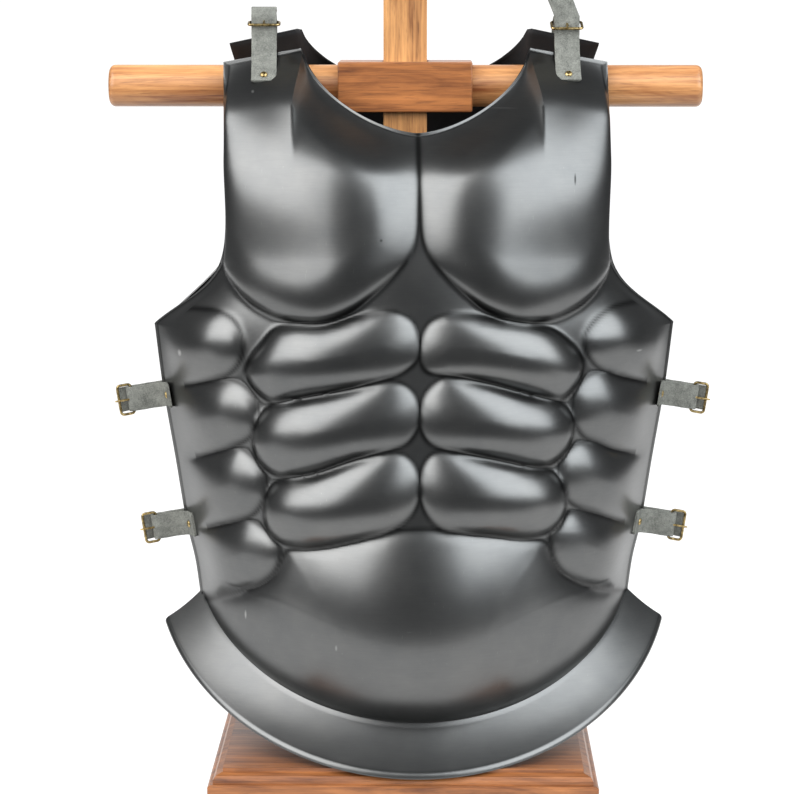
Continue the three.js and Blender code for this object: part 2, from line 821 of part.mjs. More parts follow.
// Leather wrapped round a wire: points on a half turn about it, from one angle to another
function roundWire(centre, from, to) {
  const radius = wire + foldRoom + halfStrap;
  return [0, 1 / 3, 2 / 3, 1].map(t => {
    const angle = THREE.MathUtils.lerp(from, to, t);
    return [centre[0] + radius * Math.cos(angle), centre[1] + radius * Math.sin(angle)];
  });
}

// Side strap: the front leather is riveted to the front plate, turns outward and is folded round the near
// bar of the buckle; the back leather is riveted to the back plate and comes outward behind the buckle
function sideStrap(name, side, height, front, back, holes) {
  const z = waistZ + frontHeight * height;
  const outward = new THREE.Vector3(side, 0, 0);
  const frontFrom = new THREE.Vector3(side * chestWidth, -rivetInset, z);
  const hit = findSurface(front, frontFrom, outward.clone().negate());
  const edgeRun = (frontSections[2].rim - frontWaist.rise) * frontHeight;
  const w = new THREE.Vector3(side * (halfChest - halfWaist), 0, edgeRun).normalize();
  const p = outward.clone().addScaledVector(w, -outward.dot(w)).normalize();
  const q = new THREE.Vector3(0, 1, 0);
  const frame = { origin: hit.point.clone(), p, q, w: w.clone().multiplyScalar(side) };
  const seatFront = seatOn(front, frame, hit, q);
  const backFrom = new THREE.Vector3(side * chestWidth, seamGap + rivetInset, z);
  const backHit = findSurface(back, backFrom, outward.clone().negate());
  const seatBack = seatOn(back, frame, backHit, q.clone().negate());
  const near = [sideReach, rivetInset + strapWall];
  const far = [near[0] + buckleLength * Math.cos(buckleTilt), near[1] - buckleLength * Math.sin(buckleTilt)];
  const turnIn = wire + foldRoom + halfStrap;
  const frontLine = [
    seatFront.flat(-strapOverlap),
    seatFront.flat(0),
    seatFront.flat(strapOverlap * 0.55),
    [near[0] * 0.4, near[1] - turnIn + 2 * fit],
    [near[0] * 0.75, near[1] - turnIn],
    ...roundWire(near, -Math.PI / 2, Math.PI / 2),
    [near[0] * 0.8, near[1] + turnIn + fit],
    [near[0] * 0.6, near[1] + turnIn * 0.9],
  ];
  const behind = turnIn + strapWall + fit;
  const backLine = [
    seatBack.flat(-strapOverlap),
    seatBack.flat(0),
    seatBack.flat(strapOverlap * 0.5),
    [near[0] * 0.45, near[1] + behind + halfStrap],
    [near[0], near[1] + behind],
    [far[0] + wire + fit, far[1] + wireDiameter + 0.8 * strapWall],
  ];
  const frontLeather = strapGeometry(frame, frontLine);
  const backLeather = strapGeometry(frame, backLine);
  holes.front.push(rivetHole(seatFront));
  holes.back.push(rivetHole(seatBack));
  const frontCuts = [rivetHole(seatFront), tongueSlot(frame, near, far)];
  return [
    [`${name}_front_leather`, cut(frontLeather, frontCuts), leather],
    [`${name}_back_leather`, cut(backLeather, [rivetHole(seatBack)]), leather],
    [`${name}_buckle`, buckleGeometry(frame, near, far), brass],
    [`${name}_tongue`, tongueGeometry(frame, near, far, -1), brass],
    [`${name}_front_rivet`, rivetGeometry(seatFront, seatFront.grip), brass],
    [`${name}_back_rivet`, rivetGeometry(seatBack, seatBack.grip), brass],
  ];
}

// Shoulder strap: the front leather is riveted near the front plate's top edge and rises through the buckle;
// the back leather comes over the back plate's top edge and is folded round the buckle's near bar
function shoulderStrap(name, side, front, back, holes) {
  const x = side * shoulderStrapX;
  const z = topZ - shoulderRivetDrop;
  const up = new THREE.Vector3(0, 0, 1);
  const hit = findSurface(front, new THREE.Vector3(x, -2 * frontDepth, z), new THREE.Vector3(0, 1, 0));
  const frame = {
    origin: new THREE.Vector3(x, 0, barHeight),
    p: up,
    q: new THREE.Vector3(0, 1, 0),
    w: new THREE.Vector3(-1, 0, 0),
  };
  const turned = (y, rise) => [rise, y];
  const seatFront = seatOn(front, frame, hit, up);
  const backZ = barHeight + backRise - backDrop - rivetInset - rivetHead / 2;
  const backHit = findSurface(back, new THREE.Vector3(x, 2 * backDepth, backZ), new THREE.Vector3(0, -1, 0));
  const seatBack = seatOn(back, frame, backHit, up);
  const frontY = -standoff - fit - halfStrap;
  const rise = backRise + shoulderStrapRoom;
  const hasFreeEnd = side > 0;
  const dip = (hasFreeEnd ? 0.45 : 0.18) * buckleLength;
  const nearRise = rise + 0.14 * buckleLength;
  const near = turned(frontY + 0.91 * buckleLength, nearRise);
  const far = turned(frontY - wireDiameter - fit, nearRise - dip);
  const turnIn = wire + foldRoom + halfStrap;
  const frontLine = [
    seatFront.flat(-strapOverlap * 0.7),
    seatFront.flat(0),
    seatFront.flat(strapOverlap),
    turned(frontY + 0.1 * buckleLength, rise - buckleLength),
    turned(frontY + 0.11 * buckleLength, rise),
    turned(frontY + 0.15 * buckleLength, rise + straightRise),
  ];
  if (hasFreeEnd) {
    frontLine.push(
      turned(frontY + 0.27 * buckleLength, rise + freeEndRise / 2),
      turned(frontY + 0.45 * buckleLength, rise + freeEndRise),
    );
  } else {
    frontLine.push(
      turned(frontY + 0.41 * buckleLength, rise + 1.05 * buckleLength),
      turned(frontY + buckleLength, rise + 1.14 * buckleLength),
      turned(frontY + 1.82 * buckleLength, rise + 0.86 * buckleLength),
    );
  }
  const innerX = shoulderStrapX - strapWidth / 2;
  const backSlope = (innerX - backTop.halfNeck) / (backTop.halfShoulder - backTop.halfNeck);
  const backEdge = { y: backTop.y, z: backTop.z - backDrop * backSlope };
  const backLine = [
    seatBack.flat(-strapOverlap * 0.7),
    seatBack.flat(0),
    seatBack.flat(strapOverlap * 0.7),
    turned(backEdge.y + halfStrap + 2 * fit, backEdge.z - barHeight + halfStrap + 2 * fit),
    turned(near[1] + 0.86 * buckleLength, near[0] + 0.05 * buckleLength),
    turned(near[1] + 0.36 * buckleLength, near[0] + turnIn + fit),
    ...roundWire(near, 0, -Math.PI),
    turned(near[1] + 0.45 * buckleLength, near[0] - turnIn),
  ];
  const lean = { height: rise + straightRise, slope: hasFreeEnd ? freeEndLean : 0 };
  const frontLeather = strapGeometry(frame, frontLine, lean);
  const backLeather = strapGeometry(frame, backLine);
  holes.front.push(rivetHole(seatFront));
  holes.back.push(rivetHole(seatBack));
  const clear = wire + fit + tongue;
  const at = besideBuckle(near, far, 1);
  const matrix = frameMatrix(frame);
  const tongueHole = rod(
    at(2 * wire, clear).applyMatrix4(matrix),
    at(2 * buckleLength, clear).applyMatrix4(matrix),
    holeDiameter / 2,
  );
  const frontCuts = [rivetHole(seatFront), tongueHole];
  return [
    [`${name}_front_leather`, cut(frontLeather, frontCuts), leather],
    [`${name}_back_leather`, cut(backLeather, [rivetHole(seatBack), tongueSlot(frame, near, far)]), leather],
    [`${name}_buckle`, buckleGeometry(frame, near, far), brass],
    [`${name}_tongue`, tongueGeometry(frame, near, far, 1), brass],
    [`${name}_front_rivet`, rivetGeometry(seatFront, seatFront.grip), brass],
    [`${name}_back_rivet`, rivetGeometry(seatBack, seatBack.grip), brass],
  ];
}

addMesh(stand, 'stand_base', squareBase(), wood);
addMesh(stand, 'stand_post', post(), wood);
addMesh(stand, 'stand_crossbar', crossbar(), wood);

const bothFaces = new THREE.MeshBasicMaterial({ side: THREE.DoubleSide });
const frontSheet = new THREE.Mesh(breastplateGeometry, bothFaces);
const backSheet = new THREE.Mesh(backplateGeometry, bothFaces);
const rivetHoles = { front: [], back: [] };
const fittings = [];
for (const [word, side] of [['right', -1], ['left', 1]]) {
  fittings.push(...shoulderStrap(`${word}_shoulder`, side, frontSheet, backSheet, rivetHoles));
  fittings.push(...sideStrap(`${word}_upper`, side, upperStrapHeight, frontSheet, backSheet, rivetHoles));
  fittings.push(...sideStrap(`${word}_lower`, side, lowerStrapHeight, frontSheet, backSheet, rivetHoles));
}
addMesh(cuirass, 'breastplate', cut(breastplateGeometry, rivetHoles.front), steel);
addMesh(cuirass, 'backplate', cut(backplateGeometry, rivetHoles.back), steel);
for (const [name, geometry, material] of fittings) {
  addMesh(cuirass, name, geometry, material);
}

export default model;
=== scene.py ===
"""Blackened steel muscle cuirass with leather straps on a wooden T stand, in a plain studio.

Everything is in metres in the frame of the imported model: the origin is the middle of the underside of the
stand's base, Z is up and the cuirass faces -Y. Sizes that come from a drawing are written in millimetres.
"""
import logging
import math
from dataclasses import dataclass, field
from enum import Enum
from typing import Callable, Sequence

import bpy
import numpy as np
from mathutils import Matrix, Vector


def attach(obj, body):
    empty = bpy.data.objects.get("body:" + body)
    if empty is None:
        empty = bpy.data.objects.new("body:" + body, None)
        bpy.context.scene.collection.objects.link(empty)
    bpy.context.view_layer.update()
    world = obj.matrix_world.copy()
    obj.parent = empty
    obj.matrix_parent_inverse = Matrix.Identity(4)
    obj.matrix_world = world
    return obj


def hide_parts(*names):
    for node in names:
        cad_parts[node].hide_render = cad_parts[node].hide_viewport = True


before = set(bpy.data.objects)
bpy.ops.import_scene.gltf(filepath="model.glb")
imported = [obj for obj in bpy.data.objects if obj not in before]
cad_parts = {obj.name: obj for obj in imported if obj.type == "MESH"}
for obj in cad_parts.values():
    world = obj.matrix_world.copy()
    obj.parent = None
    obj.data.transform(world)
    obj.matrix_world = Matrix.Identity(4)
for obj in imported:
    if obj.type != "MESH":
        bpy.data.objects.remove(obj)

log = logging.getLogger("cuirass")
Array = np.ndarray
MM = 0.001
BODY = "root"
# A distance in millimetres for places that no outline is near
FAR = 1e3


class Side(Enum):
    """The wearer's side, as the sign of X."""

    RIGHT = -1
    LEFT = 1


def smooth(t: Array) -> Array:
    """Smooth step of a value from 0 to 1.

    Args:
        t: Values, clamped to 0 to 1.

    Returns:
        Values from 0 to 1 with flat ends.
    """
    c = np.clip(t, 0.0, 1.0)
    return c * c * (3.0 - 2.0 * c)


def blend(a: Array, b: Array, t: Array) -> Array:
    """Linear blend from a to b."""
    return a + (b - a) * t


def bell(values: Array, middle: float, width: float) -> Array:
    """Bell curve of height one about a middle."""
    return np.exp(-((values - middle) / width) ** 2)


def unit(v: Array) -> Array:
    """Vectors of length one along the last axis."""
    return v / np.maximum(np.linalg.norm(v, axis=-1, keepdims=True), 1e-12)


@dataclass
class MeshParts:
    """Vertices and faces gathered from grids before they become one mesh."""

    points: list[Array] = field(default_factory=list)
    quads: list[Array] = field(default_factory=list)
    count: int = 0

    def add_points(self, points: Array) -> int:
        """Adds points.

        Args:
            points: Points of any shape whose last axis is x, y and z.

        Returns:
            The index of the first.
        """
        start = self.count
        flat = points.reshape(-1, 3)
        self.points.append(flat)
        self.count += len(flat)
        return start

    def add_grid(self, points: Array, flip: bool = False, wrap_columns: bool = False) -> Array:
        """Adds a grid of points with its faces.

        Args:
            points: Grid of shape rows, columns, 3.
            flip: Turns the faces the other way.
            wrap_columns: Joins the last column to the first.

        Returns:
            The points' indices, of shape rows, columns.
        """
        rows, columns = points.shape[:2]
        index = np.arange(rows * columns).reshape(rows, columns) + self.add_points(points)
        self.add_faces(index, flip, wrap_columns)
        return index

    def add_faces(self, index: Array, flip: bool = False, wrap_columns: bool = False) -> None:
        """Adds the faces between points that are already there.

        Args:
            index: Indices of shape rows, columns.
            flip: Turns the faces the other way.
            wrap_columns: Joins the last column to the first.
        """
        if wrap_columns:
            index = np.concatenate([index, index[:, :1]], axis=1)
        a, b = index[:-1, :-1], index[1:, :-1]
        c, d = index[1:, 1:], index[:-1, 1:]
        order = (a, d, c, b) if flip else (a, b, c, d)
        self.quads.append(np.stack(order, axis=-1).reshape(-1, 4))

    def add_fan(self, ring: Array, centre: Array, flip: bool = False) -> None:
        """Closes a ring of points with a fan of quads that meet at a new point.

        Args:
            ring: Indices of the ring's points, in order and even in number.
            centre: The new point.
            flip: Turns the faces the other way.
        """
        middle = self.add_points(centre.reshape(1, 3))
        loop = np.append(ring, ring[0])
        first, second, third = loop[:-2:2], loop[1:-1:2], loop[2::2]
        centres = np.full(len(first), middle)
        order = (centres, third, second, first) if flip else (centres, first, second, third)
        self.quads.append(np.stack(order, axis=-1))

    def build(self, name: str, crease: float = 35.0, painted_shade: Array | None = None) -> bpy.types.Object:
        """Makes the mesh object.

        Args:
            name: Name of the object.
            crease: Angle in degrees above which an edge is shaded sharp.
            painted_shade: Painted shade for the material from 0 to 1, for each of the first points: darkest
                in creases and beside rolled edges.

        Returns:
            The object, linked to the scene.
        """
        points = np.concatenate(self.points).astype(np.float32)
        quads = np.concatenate(self.quads).astype(np.int32)
        mesh = bpy.data.meshes.new(name)
        mesh.vertices.add(len(points))
        mesh.vertices.foreach_set("co", points.ravel())
        mesh.loops.add(quads.size)
        mesh.loops.foreach_set("vertex_index", quads.ravel())
        mesh.polygons.add(len(quads))
        mesh.polygons.foreach_set("loop_start", np.arange(0, quads.size, 4, dtype=np.int32))
        mesh.polygons.foreach_set("loop_total", np.full(len(quads), 4, dtype=np.int32))
        mesh.polygons.foreach_set("use_smooth", np.ones(len(quads), dtype=bool))
        mesh.update(calc_edges=True)
        mesh.validate()
        # Painted shade: the steel material darkens its colour by this attribute in creases and beside rolled
        # edges.
        if painted_shade is not None:
            values = np.zeros(len(points), dtype=np.float32)
            values[:painted_shade.size] = painted_shade.ravel()
            mesh.attributes.new("painted_shade", "FLOAT", "POINT").data.foreach_set("value", values)
        mesh.set_sharp_from_angle(angle=math.radians(crease))
        piece = bpy.data.objects.new(name, mesh)
        bpy.context.scene.collection.objects.link(piece)
        return piece


class Nodes:
    """A small builder for the nodes of a material or a shader group."""

    def __init__(self, tree: bpy.types.NodeTree) -> None:
        """Keeps the tree that the nodes go into."""
        self.tree = tree

    def add(self, kind: str, settings: dict | None = None, **inputs: object) -> bpy.types.Node:
        """Adds a node.

        Args:
            kind: Node type, such as ShaderNodeMix.
            settings: The node's own properties.
            **inputs: Values or output sockets, by socket name with _ for a space, or by i and a number.

        Returns:
            The node.
        """
        node = self.tree.nodes.new(kind)
        for key, value in (settings or {}).items():
            setattr(node, key, value)
        for key, value in inputs.items():
            self.feed(self.socket(node, key), value)
        return node

    @staticmethod
    def socket(node: bpy.types.Node, key: str) -> bpy.types.NodeSocket:
        """The input that a key names: i0 is the first, and other keys are the socket's name."""
        if key[0] == "i" and key[1:].isdigit():
            return node.inputs[int(key[1:])]
        return node.inputs[key.replace("_", " ")]

    def feed(self, socket: bpy.types.NodeSocket, value: object) -> None:
        """Links an output to a socket, or sets the socket's value.

        Args:
            socket: The input.
            value: An output socket, or a value.
        """
        if isinstance(value, bpy.types.NodeSocket):
            self.tree.links.new(value, socket)
        else:
            socket.default_value = value

    def math(self, operation: str, *values: object, clamp: bool = False) -> bpy.types.NodeSocket:
        """Adds a math node for up to three values and returns its output."""
        inputs = {f"i{place}": value for place, value in enumerate(values)}
        return self.add("ShaderNodeMath", {"operation": operation, "use_clamp": clamp}, **inputs).outputs[0]

    def mix(self, factor: object, a: object, b: object, mode: str = "MIX") -> bpy.types.NodeSocket:
        """Adds a colour mix and returns its output."""
        settings = {"data_type": "RGBA", "blend_type": mode}
        return self.add("ShaderNodeMix", settings, i0=factor, i6=a, i7=b).outputs[2]

    def ramp(self, value: object, stops: Sequence[tuple[float, float]]) -> bpy.types.NodeSocket:
        """Maps a value through grey stops of position and level, and returns the output."""
        colours = [(place, (level, level, level, 1.0)) for place, level in stops]
        return self.colour_ramp(value, colours)

    def colour_ramp(self, value: object, stops: Sequence[tuple[float, tuple]]) -> bpy.types.NodeSocket:
        """Maps a value through colours.

        Args:
            value: The value or its socket.
            stops: Pairs of a position and a colour.

        Returns:
            The colour's socket.
        """
        node = self.add("ShaderNodeValToRGB", None, Fac=value)
        elements = node.color_ramp.elements
        for spare in range(2, len(stops)):
            elements.new(0.5 + 0.001 * spare)
        for element, (place, colour) in zip(elements, stops):
            element.position = place
            element.color = colour
        return node.outputs[0]

    def noise(self, vector: object, scale: float, detail: float = 3.0, rough: float = 0.5,
              distortion: float = 0.0) -> bpy.types.NodeSocket:
        """Adds a noise texture.

        Args:
            vector: Coordinates.
            scale: Its scale.
            detail: Number of octaves.
            rough: Share that each octave adds.
            distortion: How far it is distorted.

        Returns:
            The value's socket.
        """
        return self.add("ShaderNodeTexNoise", None, Vector=vector, Scale=scale, Detail=detail,
                        Roughness=rough, Distortion=distortion).outputs[0]

    def scaled(self, vector: object, scale: Sequence[float], turn: Sequence[float] = (0, 0, 0),
               move: Sequence[float] = (0, 0, 0)) -> bpy.types.NodeSocket:
        """Scales, turns and moves coordinates, and returns them."""
        return self.add("ShaderNodeMapping", None, Vector=vector, Scale=tuple(scale), Rotation=tuple(turn),
                        Location=tuple(move)).outputs[0]


class Finish:
    """A material with a builder for its nodes and its surface shader."""

    def __init__(self, name: str) -> None:
        """Starts an empty material.

        Args:
            name: Name of the material.
        """
        self.material = bpy.data.materials.new(name)
        self.material.use_nodes = True
        tree = self.material.node_tree
        tree.nodes.clear()
        self.nodes = Nodes(tree)
        self.place = self.nodes.add("ShaderNodeTexCoord").outputs["Object"]
        self.surface = self.nodes.add("ShaderNodeBsdfPrincipled")
        output = self.nodes.add("ShaderNodeOutputMaterial")
        tree.links.new(self.surface.outputs[0], output.inputs["Surface"])

    def set(self, **inputs: object) -> None:
        """Sets or links the surface shader's inputs, with _ for a space in a socket's name."""
        for key, value in inputs.items():
            self.nodes.feed(self.surface.inputs[key.replace("_", " ")], value)

    def bump(self, height: object, strength: float, distance: float) -> bpy.types.NodeSocket:
        """Adds a bump node, distance in metres, and returns its normal."""
        inputs = {"Height": height, "Strength": strength, "Distance": distance}
        return self.nodes.add("ShaderNodeBump", None, **inputs).outputs[0]


class Studio:
    """White paper floor and wall, four soft boxes and the photograph's camera."""

    def camera(self) -> None:
        """Places the camera where the photograph was taken from."""
        data = bpy.data.cameras.new("camera")
        data.lens = 129.24
        data.sensor_width = 36.0
        data.clip_start = 0.05
        camera = bpy.data.objects.new("camera", data)
        camera.location = (0.0257, -2.3, 0.6517)
        camera.rotation_euler = (math.radians(90.0 - 8.59), 0.0, math.radians(0.808))
        bpy.context.scene.collection.objects.link(camera)
        bpy.context.scene.camera = camera

    def soft_box(self, name: str, place: Sequence[float], aim: Sequence[float], size: tuple[float, float],
                 power: float, colour: Sequence[float] = (1.0, 1.0, 1.0)) -> bpy.types.Object:
        """Adds a rectangular area light.

        Args:
            name: Name of the light.
            place: Its middle.
            aim: The point it faces.
            size: Width and height in metres.
            power: Power in watts.
            colour: Colour of its light.

        Returns:
            The light.
        """
        data = bpy.data.lights.new(name, "AREA")
        data.shape = "RECTANGLE"
        data.size, data.size_y = size
        data.energy = power
        data.color = tuple(colour)
        light = bpy.data.objects.new(name, data)
        light.location = place
        light.rotation_euler = (Vector(aim) - Vector(place)).to_track_quat("-Z", "Y").to_euler()
        bpy.context.scene.collection.objects.link(light)
        return light

    def backdrop(self) -> None:
        """Makes the floor, which sweeps up into a wall behind the stand."""
        half_width, front, back, radius, under = 1.3, -0.5, 3.2, 1.2, 0.0004
        flat = np.linspace(front, back, 12)
        bend = np.linspace(0.0, math.pi / 2, 24)[1:]
        wall = radius + np.linspace(0.3, 2.4, 6)
        y = np.concatenate([flat, back + radius * np.sin(bend), np.full_like(wall, back + radius)])
        z = np.concatenate([np.zeros_like(flat), radius * (1 - np.cos(bend)), wall])
        x = np.linspace(-half_width, half_width, 9)
        points = np.stack(np.broadcast_arrays(x, y[:, None], z[:, None] - under), axis=-1)
        parts = MeshParts()
        parts.add_grid(points)
        floor = parts.build("floor")
        finish = Finish("studio_paper")
        finish.set(Base_Color=(0.15, 0.15, 0.15, 1.0), Roughness=0.9)
        finish.set(Emission_Color=(1.0, 1.0, 1.0, 1.0), Emission_Strength=0.94)
        floor.data.materials.append(finish.material)

    def lights(self) -> None:
        """Adds the lights and the dark room behind the camera."""
        aim = (0.0, -0.05, 0.38)
        self.soft_box("left_box", (-1.46, -1.22, 1.55), aim, (2.2, 2.4), 70.0)
        self.soft_box("right_box", (1.46, -1.22, 1.55), aim, (2.2, 2.4), 67.0, (0.93, 0.97, 1.0))
        for light in (self.soft_box("paper_light", (0.0, 1.2, 2.6), (0.0, 1.2, 0.0), (3.0, 1.6), 60.0),
                      self.soft_box("front_fill", (0.0, -3.0, 1.8), aim, (2.0, 2.0), 50.0)):
            light.visible_glossy = False
        world = bpy.data.worlds.new("room")
        world.use_nodes = True
        world.node_tree.nodes["Background"].inputs[0].default_value = (0.13, 0.133, 0.136, 1.0)
        world.node_tree.nodes["Background"].inputs[1].default_value = 1.0
        bpy.context.scene.world = world
        bpy.context.scene.view_settings.view_transform = "Standard"

    def build(self) -> None:
        """Builds the whole studio."""
        self.camera()
        self.backdrop()
        self.lights()


@dataclass(frozen=True)
class Section:
    """One level of a plate. Heights are shares of the front's height above the waist, half is a share of
    half the chest's width, and front and edge are shares of the plate's depth."""

    middle: float
    block: float
    side: float
    rim: float
    half: float
    front: float
    edge: float = 0.0

    def height(self, u: Array) -> Array:
        """Height of the level at places across the plate.

        Args:
            u: Places from -1 to 1.

        Returns:
            Heights as shares.
        """
        a = np.abs(u)
        turn = 0.55
        flank = 0.5 * (self.block + self.side)
        inner = blend(self.middle, flank, smooth(a / turn))
        outer = blend(flank, self.rim, smooth((a - turn) / (1 - turn)))
        return np.where(a < turn, inner, outer)


def smooth_line(points: Array, per_span: int) -> Array:
    """Centripetal smooth line through points.

    Args:
        points: Points of shape count, dimensions.
        per_span: Steps between one point and the next.

    Returns:
        Points along the line.
    """
    ends = np.concatenate([[2 * points[0] - points[1]], points, [2 * points[-1] - points[-2]]])
    span = np.sqrt(np.linalg.norm(np.diff(ends, axis=0), axis=-1))[:, None]
    before, own, after = span[:-2], span[1:-1], span[2:]
    a, b, c, d = ends[:-3], ends[1:-2], ends[2:-1], ends[3:]
    leave = ((b - a) / before - (c - a) / (before + own) + (c - b) / own) * own
    arrive = ((c - b) / own - (d - b) / (own + after) + (d - c) / after) * own
    t = (np.arange(per_span) / per_span)[None, :, None]
    b, c, leave, arrive = b[:, None], c[:, None], leave[:, None], arrive[:, None]
    line = (b * (2 * t ** 3 - 3 * t ** 2 + 1) + leave * (t ** 3 - 2 * t ** 2 + t)
            + c * (3 * t ** 2 - 2 * t ** 3) + arrive * (t ** 3 - t ** 2))
    return np.concatenate([line.reshape(-1, points.shape[1]), points[-1:]])


@dataclass(frozen=True)
class Muscle:
    """A hammered muscle: the plate is blown up inside an outline, in millimetres from the plate's middle
    and from the ground, like a sheet under even pressure."""

    outline: tuple[tuple[float, float], ...]
    lift: float = 16.0
    skew: float = 0.0
    softness: float = 0.18
    pitch: float = 2.5

    def inside(self, x: Array, z: Array) -> Array:
        """Distances in from the outline, negative outside it.

        Args:
            x: Distances across from the plate's middle, of shape count.
            z: Heights, of shape count.

        Returns:
            Distances of shape count.
        """
        knots = np.array(self.outline)
        steps, wrapped = 6, 3
        line = smooth_line(np.concatenate([knots[-wrapped:], knots, knots[:wrapped]]), steps)
        line = line[wrapped * steps:(wrapped + len(knots)) * steps + 1]
        start, along = line[:-1], np.diff(line, axis=0)
        from_start = np.stack([x, z], axis=-1)[:, None] - start
        t = np.clip((from_start * along).sum(axis=-1) / (along ** 2).sum(axis=-1), 0.0, 1.0)
        apart = np.linalg.norm(from_start - t[..., None] * along, axis=-1).min(axis=1)
        level = z[:, None]
        spans = (start[:, 1] > level) != (line[1:, 1] > level)
        rise = np.where(along[:, 1] == 0, 1e-9, along[:, 1])
        crossings = spans & (from_start[..., 0] < from_start[..., 1] * along[:, 0] / rise)
        return np.where(crossings.sum(axis=1) % 2 == 1, apart, -apart)

    def raised(self, x: Array, z: Array) -> tuple[Array, Array]:
        """How far the plate is raised by this muscle, and how far from its outline the places are.

        Args:
            x: Distances across from the plate's middle, of shape rows, columns.
            z: Heights, of the same shape.

        Returns:
            Heights above the plate's own surface, and distances from the outline.
        """
        knots = np.array(self.outline)
        border = 3 * self.pitch
        low, high = knots.min(axis=0) - border, knots.max(axis=0) + border
        raster_x = np.arange(low[0], high[0] + self.pitch, self.pitch)
        raster_z = np.arange(low[1], high[1] + self.pitch, self.pitch)
        raster = np.meshgrid(raster_x, raster_z)
        shape = raster[0].shape
        depth = self.inside(raster[0].ravel(), raster[1].ravel()).reshape(shape)
        across = np.abs(raster[0])
        middle, half = (across.max() + across.min()) / 2, (across.max() - across.min()) / 2
        blown = self.inflate(depth > 0.0, 1 + self.skew * (across - middle) / half)
        steep = np.where(depth > self.pitch, blown / np.maximum(depth, 1e-6), 0.0)
        known = (depth > self.pitch).astype(float)
        spread_passes, least_weight = 4, 0.02
        for _ in range(spread_passes):
            spread, weight = blur(steep * known), blur(known)
            steep = np.where(known > 0, steep, spread / np.maximum(weight, 1e-6))
            known = np.maximum(known, weight > least_weight)
        near = (x > low[0]) & (x < high[0]) & (z > low[1]) & (z < high[1])
        column = (x[near] - low[0]) / self.pitch
        row = (z[near] - low[1]) / self.pitch
        c, r = np.minimum(column.astype(int), shape[1] - 2), np.minimum(row.astype(int), shape[0] - 2)
        a, b = column - c, row - r
        above = blend(steep[r + 1, c], steep[r + 1, c + 1], a)
        slope = blend(blend(steep[r, c], steep[r, c + 1], a), above, b)
        depths = self.inside(x[near], z[near])
        raised, distance = np.zeros_like(x), np.full_like(x, FAR)
        share = np.clip(np.clip(depths, 0.0, None) * slope / blown.max(), 0.0, 1.0)
        foot, crown = math.sqrt(self.softness), math.sqrt(1 + self.softness)
        raised[near] = self.lift * (np.sqrt(share + self.softness) - foot) / (crown - foot)
        distance[near] = np.abs(depths)
        return raised, distance

    @staticmethod
    def inflate(mask: Array, pressure: Array) -> Array:
        """Shape of a membrane under pressure, held at the mask's edge.

        Args:
            mask: True where the membrane is free.
            pressure: Pressure on every place.

        Returns:
            Heights, zero outside the mask.
        """
        height = np.zeros(mask.shape)
        checker = np.indices(mask.shape).sum(axis=0) % 2
        span = max(mask.shape)
        over = 2.0 / (1.0 + math.sin(math.pi / span))
        sweeps = 3 * span
        for _ in range(sweeps):
            for colour in (0, 1):
                around = np.zeros(mask.shape)
                around[1:-1, 1:-1] = 0.25 * (neighbours(height) + pressure[1:-1, 1:-1])
                height += np.where(mask & (checker == colour), over * (around - height), 0.0)
        return height


def neighbours(values: Array) -> Array:
    """Sum of the four neighbours of each value inside a grid's border."""
    return values[:-2, 1:-1] + values[2:, 1:-1] + values[1:-1, :-2] + values[1:-1, 2:]


def blur(values: Array) -> Array:
    """Mean of each value of a grid and its four neighbours."""
    return 0.2 * (values + neighbours(np.pad(values, 1, mode="edge")))


def soften_grid(values: Array, passes: int, axes: tuple[int, ...] = (0, 1)) -> Array:
    """Smooths a grid of values with its neighbours, as hammered sheet rounds its creases.

    Args:
        values: Grid of values.
        passes: How often it is smoothed.
        axes: Directions in which it is smoothed.

    Returns:
        The smoothed grid.
    """
    for _ in range(passes):
        for axis in axes:
            line = np.moveaxis(values, axis, 0)
            padded = np.concatenate([line[:1], line, line[-1:]])
            values = np.moveaxis(0.25 * padded[:-2] + 0.5 * line + 0.25 * padded[2:], 0, axis)
    return values


def edge_distances(grid: Array) -> tuple[Array, Array]:
    """Distances of every point of a plate's grid from its top edge and from its sides.

    Args:
        grid: Points of shape rows, columns, 3.

    Returns:
        Distances from the top edge, and from the nearer side.
    """
    down = np.linalg.norm(np.diff(grid, axis=0, prepend=grid[:1]), axis=-1).cumsum(axis=0)
    along = np.linalg.norm(np.diff(grid, axis=1, prepend=grid[:, :1]), axis=-1).cumsum(axis=1)
    return down, np.minimum(along, along[:, -1:] - along)


def grid_normals(grid: Array) -> Array:
    """Normals of a grid of points, from its rows and columns."""
    return unit(np.cross(np.gradient(grid, axis=0), np.gradient(grid, axis=1)))


